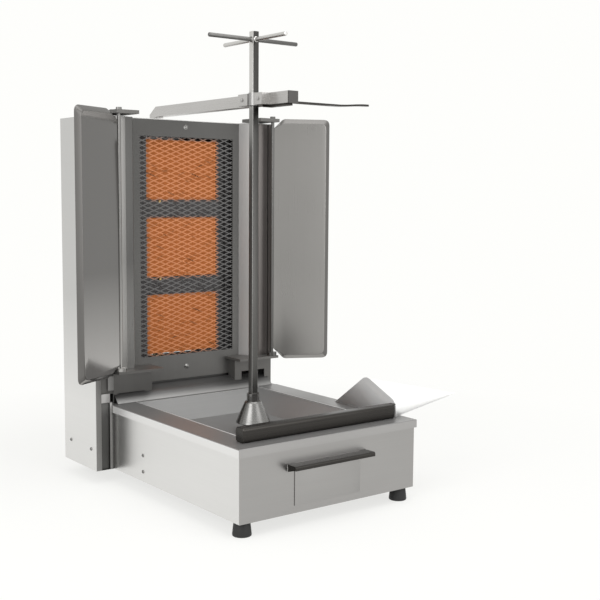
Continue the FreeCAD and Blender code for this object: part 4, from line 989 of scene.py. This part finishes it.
@dataclass
class Columns(Assembly):
    """The hollow columns beside the burners."""

    low: float = 253.0
    high: float = 823.5
    back: float = 62.0
    inner: float = 146.0
    flare: float = 161.0
    outer: float = 225.0
    front: float = 20.0
    rib: Triple = (182.0, 208.0, 14.0)
    step: Pair = (215.0, 32.0)

    def column(self, name: str, sign: int, look: Look, light: Look) -> None:
        """One column: its plan outline with small bend radii, carried up.

        Args:
            name: left or right.
            sign: -1 for left, 1 for right.
            look: Finish of most faces.
            light: Finish of the faces that catch the light.
        """
        rib_in, rib_out, rib_y = self.rib
        step_x, step_y = self.step
        inner, outer, front, back = self.inner, self.outer, self.front, self.back
        plan = [(inner, back), (inner, 49.0), (self.flare, front), (rib_in, front)]
        plan += [(rib_in, rib_y), (rib_out, rib_y), (rib_out, step_y), (step_x, step_y)]
        plan += [(step_x, front), (outer, front), (outer, back)]
        section = rounded(plan, 1.6, 5, True)
        section[:, 0] *= sign
        shape = bar(section, Z, self.low, self.high, 0.3)

        def lit(centre: np.ndarray, normal: Vector) -> int:
            """1 for a face that catches the light, 2 for a middling one, 0 for the others."""
            x = abs(centre[0])
            on_flare = x < self.flare - 0.5
            if sign > 0:
                return int(on_flare and normal.y < -0.2)
            if on_flare:
                return 0
            return 2 if x < rib_in - 1 else 1

        node = "column_" + name
        others = (light, Look.COLUMN_MID)
        shell = node + "_shell"
        self.piece(shell, shape, look, node, sharp=30.0, others=others, choose=lit)

    def build(self) -> None:
        """Build both columns."""
        self.column("left", -1, Look.COLUMN, Look.COLUMN_LIGHT)
        self.column("right", 1, Look.COLUMN_RIGHT, Look.FLARE)


@dataclass
class Controls(Assembly):
    """Gas knobs with their stems, and the motor switch."""

    face: float = 228.3
    y: float = 105.0
    top: float = 22.0

    def knob(self, number: int, z: float) -> None:
        """A fluted knob with a skirt and a raised pointer, and its white mark.

        Args:
            number: Which tap, from 1.
            z: Height of its axis.
        """
        spot, top = (self.face, self.y, z), self.face + self.top
        skirt = turned([(TIP, 0), (19, 0), (20, 1.2), (20, 5), (18.6, 7), (TIP, 7)], spot, X)
        grip = [(TIP, 5), (14.6, 5), (14.4, 18), (13.2, 21), (11, self.top), (TIP, self.top)]
        body = turned(grip, spot, X, flutes=20, segments=120)
        ridge = slab((self.face + 6, self.y - 3, z), (top + 0.3, self.y + 3, z + 19), 0.9)
        mark = slab((top + 0.1, self.y - 0.7, z + 3), (top + 0.6, self.y + 0.7, z + 18), 0.2)
        rides, whole = "knob_%d" % number, skirt + body + ridge
        worn = {"body": rides, "slot": PLASTIC}
        self.piece(rides + "_body", whole, Look.PLASTIC, "gas_" + rides, **worn)
        self.piece(rides + "_mark", mark, Look.MARK, **worn)

    def build(self) -> None:
        """Build the three knobs and dress the stems and the switch."""
        for number, z in enumerate(PLAQUE_MIDDLES, start=1):
            self.knob(number, z)
        self.dress(Look.BRIGHT, "tap_stem_1", "tap_stem_2", "tap_stem_3")
        self.dress(Look.PLASTIC, "switch_housing", "switch_rocker")


@dataclass
class Spit(Assembly):
    """The turning spit: bell, socket, skewer, cross handle and collar."""

    y: float = -225.0
    bell_top: float = 197.0
    tube_half: float = 7.75
    tube_wall: float = 2.0
    tube_top: float = 999.0
    tube_open: float = 540.0
    cross_z: float = 982.0
    cross_reach: float = 115.0
    cross_near: float = 7.4

    def bell(self) -> None:
        """Cone with a rolled rim and a rounded shoulder."""
        top = self.bell_top
        inner = [(TIP, 191), (14, 191), (16.4, 189), (25, 172), (34.6, 151)]
        outer = [(36.6, 150), (38.0, 150.2), (38.4, 151.2), (38.0, 152.4), (36.9, 154.2)]
        outer += [(28, 174.5), (19.2, 194), (18.2, 196), (17, top), (TIP, top)]
        shape = turned(inner + outer, (0, self.y, 0), Z, segments=72)
        self.piece("bell_cone", shape, Look.BELL, "spit_bell", body="spit_drive", slot=POLISHED)

    def tube(self) -> None:
        """Square tube with rounded edges and an open top; its faces to the front and to the right
        are painted darker as shade, the others take the lighter side steel with a painted highlight
        near the top.

        The bore's outline is the tube's, drawn in by the wall.
        """
        half, top = self.tube_half, self.tube_top
        corners = [(-half, -half), (half, -half), (half, half), (-half, half)]
        outline = rounded(corners, 2.0, 6, True)
        bore = outline * (half - self.tube_wall) / half
        rise = outline - bore
        rows = [(bore, self.tube_open), (bore, top - 0.6), (bore + rise * 0.15, top)]
        rows += [(bore + rise * 0.85, top), (outline, top - 0.6), (outline, self.bell_top)]
        points = np.zeros((len(rows), len(outline), 3))
        for row, (line, z) in zip(points, rows):
            row[:, :2] = line + (0, self.y)
            row[:, 2] = z

        def front(centre: np.ndarray, normal: Vector) -> int:
            """1 for a face that looks to the front or to the right."""
            return int(normal.y < -0.8 or normal.x > 0.8)

        dark = {"others": (Look.SKEWER,), "choose": front}
        tube, side = grid(points), Look.SKEWER_SIDE
        self.piece("skewer_bar", tube, side, "skewer_tube", body="skewer", slot=POLISHED, **dark)

    def cross(self) -> None:
        """Four round bars with domed ends and a weld bead where they meet the tube."""
        reach, near = self.cross_reach, self.cross_near
        profile = [(TIP, near), (6.2, near), (6.0, 8.6), (4.5, 10), (4.5, reach - 2)]
        profile += [(4.2, reach - 1), (3.2, reach - 0.2), (TIP, reach)]
        spot = (0, self.y, self.cross_z)
        # Painted light and shade: the bars across take the rod's darker steel, the bars front to
        # back the skewer's lighter side steel with its painted highlight at this height.
        pieces = (("cross_bars", X, Look.ROD), ("cross_bars_deep", Y, Look.SKEWER_SIDE))
        for name, axis, worn in pieces:
            bars = [turned(profile, spot, axis, sign, segments=28) for sign in (1.0, -1.0)]
            self.piece(name, together(bars), worn, "cross_handle", body="skewer", slot=POLISHED)

    def build(self) -> None:
        """Build the spit's pieces and dress its solids."""
        self.bell()
        self.tube()
        self.cross()
        self.dress(Look.COLLAR, "skewer_collar")
        self.dress(Look.BRIGHT, "spit_socket", "drive_shaft", "bearing_boss")


@dataclass
class TopArm(Assembly):
    """The swinging top arm with its fork, guide, cap and pull bar, and its post."""

    left: float = 13.0
    right: float = 38.0
    low: float = 843.5
    front: float = -329.5
    bar_end: float = 242.0
    bar_half: float = 9.0
    bar_thick: float = 2.1
    rise: float = 4.5
    rise_long: Pair = (90.0, 80.0)
    guide_y: Pair = (-314.0, -238.0)
    guide_tall: float = 4.0

    def pull_bar(self) -> None:
        """Flat bar that rises at its free end, with that end rounded in plan, and the arm's guide.

        Its middle height is low + 2 + rise s(t), where s(t) = t^2 (3 - 2t) is a smooth step over
        the bar's last stretch; its half width is bar_half sqrt(1 - e^2) over its rounded end.
        """
        dark, half = Look.DARK, self.bar_half
        bend = self.bar_end - half
        tail = bend + half * np.sin(np.linspace(0.1, 1.55, 12))
        x = np.concatenate([np.linspace(self.right, bend, 40), tail])
        t = np.clip((x - (self.bar_end - self.rise_long[0])) / self.rise_long[1], 0, 1)
        middle = self.low + 2 + self.rise * t * t * (3 - 2 * t)
        e = np.clip((x - bend) / half, 0, 0.9999)
        section = rounded([(-1, -1), (1, -1), (1, 1), (-1, 1)], 0.35, 4, True)
        points = np.zeros((len(x), len(section), 3))
        points[..., 0] = x[:, None]
        points[..., 1] = self.front + half + section[:, 0] * (half * np.sqrt(1 - e**2))[:, None]
        points[..., 2] = middle[:, None] + section[:, 1] * self.bar_thick
        shape = grid(points)
        (near, far), low = self.guide_y, self.low
        guide = slab((self.left, near, low - self.guide_tall), (self.right, far, low), 0.8)
        self.piece("pull_bar", shape, dark, "arm_pull", body="arm", slot=POLISHED)
        self.piece("arm_guide", guide, dark, body="arm", slot=POLISHED)

    def fork_bolts(self) -> None:
        """Hexagon bolt heads that hold the fork's rear block and tine."""
        profile = [(4.4, 0), (4.4, 2.2), (3.8, 2.8), (TIP, 2.8)]
        spots = [(-8.0, y, 856.0) for y in (-190.0, -250.0)]
        heads = [turned(profile, spot, X, -1.0, segments=6) for spot in spots]
        self.piece("fork_bolts", together(heads), Look.FLARE, body="arm", slot=POLISHED)

    def build(self) -> None:
        """Build the arm's pieces and dress its solids."""
        self.pull_bar()
        self.fork_bolts()
        self.dress(Look.ARM, "arm_tube", "arm_leg", "arm_fork")
        self.dress(Look.CAP, "arm_cap")
        self.dress(Look.BRIGHT, "arm_post")


@dataclass
class Wings(Assembly):
    """The side wings: dished sheets with slanted edges, on their pins."""

    hinge_x: float = 209.0
    hinge_y: float = -6.0
    low: float = 242.5
    tall: float = 594.5
    chord: float = 144.0
    start: float = 4.0
    edge: float = 10.0
    radii: tuple[float, ...] = (0.5, 7.0, 15.0, 15.0, 7.0, 0.5)
    cut_low: float = 28.0
    cut_top: float = 24.0
    wall: float = 1.2
    open: float = 27.0

    def outline(self, grow: float) -> np.ndarray:
        """The wing's outline seen from the front.

        Args:
            grow: How far its free edges are moved out.

        Returns:
            Array (n, 2) of distance from the pin and height above the wing's foot.
        """
        foot = self.edge - grow
        far, top = self.chord - foot, self.tall - foot
        near = self.start
        corners = [(near, self.cut_low), (near + self.cut_low, foot), (far, foot), (far, top)]
        corners += [(near + self.cut_top, top), (near, self.tall - self.cut_top)]
        return rounded(corners, list(self.radii), 8, True)

    def sheet(self, name: str, sign: int, look: Look) -> None:
        """One wing, carried through rows of outlines and turned open about its pin.

        A row (grow, depth) holds the outline's points (u, z); the plan point (sign u, depth) is
        turned by -sign * open about the pin.

        Args:
            name: left or right.
            sign: -1 for left, 1 for right.
            look: The finish of the flat face.
        """
        edge, wall = self.edge, self.wall
        rows = [(-1.6, 0), (-0.6, 0.1), (0.3, 0.6), (edge - 0.22, edge - 0.2), (edge - 0.02, edge)]
        rows += [(edge - 0.6, edge + wall), (0.0, wall + 0.7), (-1.4, wall)]
        turn = -sign * math.radians(self.open)
        cosine, sine = math.cos(turn), math.sin(turn)
        points = []
        for grow, depth in rows:
            line = self.outline(grow)
            u = line[:, 0] * sign
            x = self.hinge_x * sign + u * cosine - depth * sine
            y = self.hinge_y + u * sine + depth * cosine
            points.append(np.stack([x, y, line[:, 1] + self.low], axis=1))

        def slanted(centre: np.ndarray, normal: Vector) -> int:
            """1 for a face of the slanted rim, but not for the foot's; these take the darker rim
            steel, a painted shade over their bright reflection.
            """
            return int(0.1 < normal.x * sine - normal.y * cosine < 0.98 and normal.z > -0.5)

        wing, shape = "wing_" + name, grid(np.stack(points))
        rim = {"sharp": 25.0, "others": (Look.RIM,), "choose": slanted}
        self.piece(wing + "_sheet", shape, look, wing, body=wing, **rim)

    def build(self) -> None:
        """Build both wings and dress their pins."""
        # Painted light and shade: the wings and their pins are one steel, given lighter tones on
        # the left and darker ones on the right.
        self.sheet("left", -1, Look.WING_LEFT)
        self.sheet("right", 1, Look.WING_RIGHT)
        self.dress(Look.COLUMN_LIGHT, "wing_pin_left")
        self.dress(Look.PIN, "wing_pin_right")


@dataclass
class Scoop(Assembly):
    """The pointed meat scoop turned over on the deck."""

    x: float = 207.0
    near: float = -465.0
    floor: float = 177.3
    deep: float = 205.0
    ridge: float = 99.0
    tall: float = 76.0
    side: float = 33.0
    reach: float = 182.0
    wall: float = 0.9

    def build(self) -> None:
        """A skin that runs from a rounded gable line to one tip, and the gable plate.

        A point is (1 - u) G(v) + u T, where G is the gable's rounded outline and T the tip.
        """
        line = rounded([(self.deep, 0), (self.ridge, self.tall), (0, self.side), (0, 0)], 16.0, 12)
        gable = np.insert(line + (self.near, self.floor), 0, self.x, axis=1)
        tip = np.array([self.x + self.reach, self.near, self.floor + self.side - 1])
        u = np.linspace(0, 0.995, 30)[:, None, None]
        plate = Shape(gable, [tuple(range(len(gable)))])
        shape = grid(gable[None] * (1 - u) + tip * u, False) + plate
        made = self.piece("scoop_skin", shape, Look.SCOOP, "meat_scoop", body="scoop", sharp=30.0)
        wall = made.modifiers.new("wall", "SOLIDIFY")
        wall.thickness = self.wall * MM
        wall.offset = -1.0


@dataclass
class Studio:
    """Pale floor, soft lamps and the camera at the photograph's angle."""

    camera: Triple = (-1297.5, -2085.5, 654.5)
    azimuth: float = 37.48
    pitch: float = 5.84
    roll: float = 0.43
    lens: float = 62.28
    sensor: float = 36.0
    aim: Triple = (0, 0, 0.45)
    white: Triple = (0.992, 0.992, 0.972)
    reach: float = 30.0
    shadow: Pair = (0.7, 1.3)
    sky_light: float = 0.7

    def lamp(self, name: str, spot: Triple, size: float, power: float) -> None:
        """A square soft lamp that looks at the grill's middle.

        Args:
            name: Its name.
            spot: Where it hangs, in metres.
            size: Side of the square, in metres.
            power: In watts.
        """
        data = bpy.data.lights.new(name, "AREA")
        data.shape = "SQUARE"
        data.size = size
        data.energy = power
        made = bpy.data.objects.new(name, data)
        made.location = spot
        made.rotation_mode = "QUATERNION"
        made.rotation_quaternion = (Vector(self.aim) - Vector(spot)).to_track_quat("-Z", "Y")
        bpy.context.scene.collection.objects.link(made)

    def backdrop(self) -> None:
        """Floor that shows as the white background but keeps a soft shadow near the grill."""
        paint = Paint("floor_white")
        speck = paint.noise(3.0)
        pale = paint.mix(speck, shade((0.80, 0.80, 0.79)), shade((0.82, 0.82, 0.81)))
        paint.plug(paint.shader.inputs["Base Color"], pale)
        paint.plug(paint.shader.inputs["Roughness"], 0.9)
        shadowed = paint.node("BsdfDiffuse", {"Color": shade((1.0, 1.0, 0.98), 0.24)})
        white = shade(self.white)
        glow, plain = [
            paint.node("Emission", {"Color": white, "Strength": strength}).outputs[0]
            for strength in (0.73, 1.0)
        ]
        near = paint.node("AddShader", {0: shadowed.outputs[0], 1: glow}).outputs[0]
        x, y, _ = paint.axes()
        away = paint.ramp(paint.math("SQRT", x * x + y * y, 0.0), *self.shadow)
        shown = paint.node("MixShader", {0: away, 1: near, 2: plain}).outputs[0]
        inputs = {0: paint.seen(), 1: paint.shader.outputs[0], 2: shown}
        both = paint.node("MixShader", inputs).outputs[0]
        paint.plug(paint.out.inputs[0], both)
        mesh = bpy.data.meshes.new("floor")
        far = self.reach
        square = [(-far, -far, 0), (far, -far, 0), (far, far, 0), (-far, far, 0)]
        mesh.from_pydata(square, [], [(0, 1, 2, 3)])
        mesh.materials.append(paint.material)
        floor = bpy.data.objects.new("floor", mesh)
        bpy.context.scene.collection.objects.link(floor)

    def sky(self) -> None:
        """World: white to the camera and in reflections, a plain level for the light it gives."""
        world = bpy.data.worlds.new("studio")
        world.use_nodes = True
        bpy.context.scene.world = world
        graph = Graph(world.node_tree)
        plain, shown = [
            graph.node("Background", {"Color": colour, "Strength": strength}).outputs[0]
            for colour, strength in (((1.0,) * 4, self.sky_light), (shade(self.white), 1.0))
        ]
        blend = graph.node("MixShader", {0: graph.seen(), 1: plain, 2: shown})
        graph.node("OutputWorld", {0: blend.outputs[0]})

    def shoot(self) -> None:
        """Camera at the worked-out spot: turned by azimuth, tipped by pitch, rolled a little."""
        a, p, roll = [math.radians(angle) for angle in (self.azimuth, self.pitch, self.roll)]
        ahead = Vector((math.sin(a) * math.cos(p), math.cos(a) * math.cos(p), -math.sin(p)))
        right = ahead.cross(Vector((0, 0, 1))).normalized()
        up = right.cross(ahead)
        turn = Matrix((right, up, -ahead)).transposed() @ Matrix.Rotation(roll, 3, "Z")
        data = bpy.data.cameras.new("camera")
        data.lens = self.lens
        data.sensor_width = self.sensor
        made = bpy.data.objects.new("camera", data)
        spot = Vector(machine(np.array(self.camera)))
        made.matrix_world = Matrix.Translation(spot) @ turn.to_4x4()
        bpy.context.scene.collection.objects.link(made)
        bpy.context.scene.camera = made

    def build(self) -> None:
        """Set up the whole studio."""
        self.backdrop()
        self.sky()
        self.lamp("left_softbox", (-2.6, -1.2, 1.6), 1.8, 34.0)
        self.lamp("top_softbox", (0.2, -0.8, 2.8), 2.2, 26.0)
        self.lamp("front_softbox", (0.9, -2.8, 1.2), 1.8, 16.0)
        self.shoot()
        bpy.context.scene.view_settings.view_transform = "Standard"


def main() -> None:
    """Build the studio and every part of the grill, in order."""
    logging.basicConfig(level=logging.INFO, format="%(name)s: %(message)s")
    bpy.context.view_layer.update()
    made: dict[Look, Material] = {}
    Studio().build()
    for kind in (BaseBox, Drawer, Net, Tower, Columns, Controls, Spit, TopArm, Wings, Scoop):
        kind(made).build()
        LOG.info("%s is done", kind.__name__)


if __name__ == "__main__":
    main()
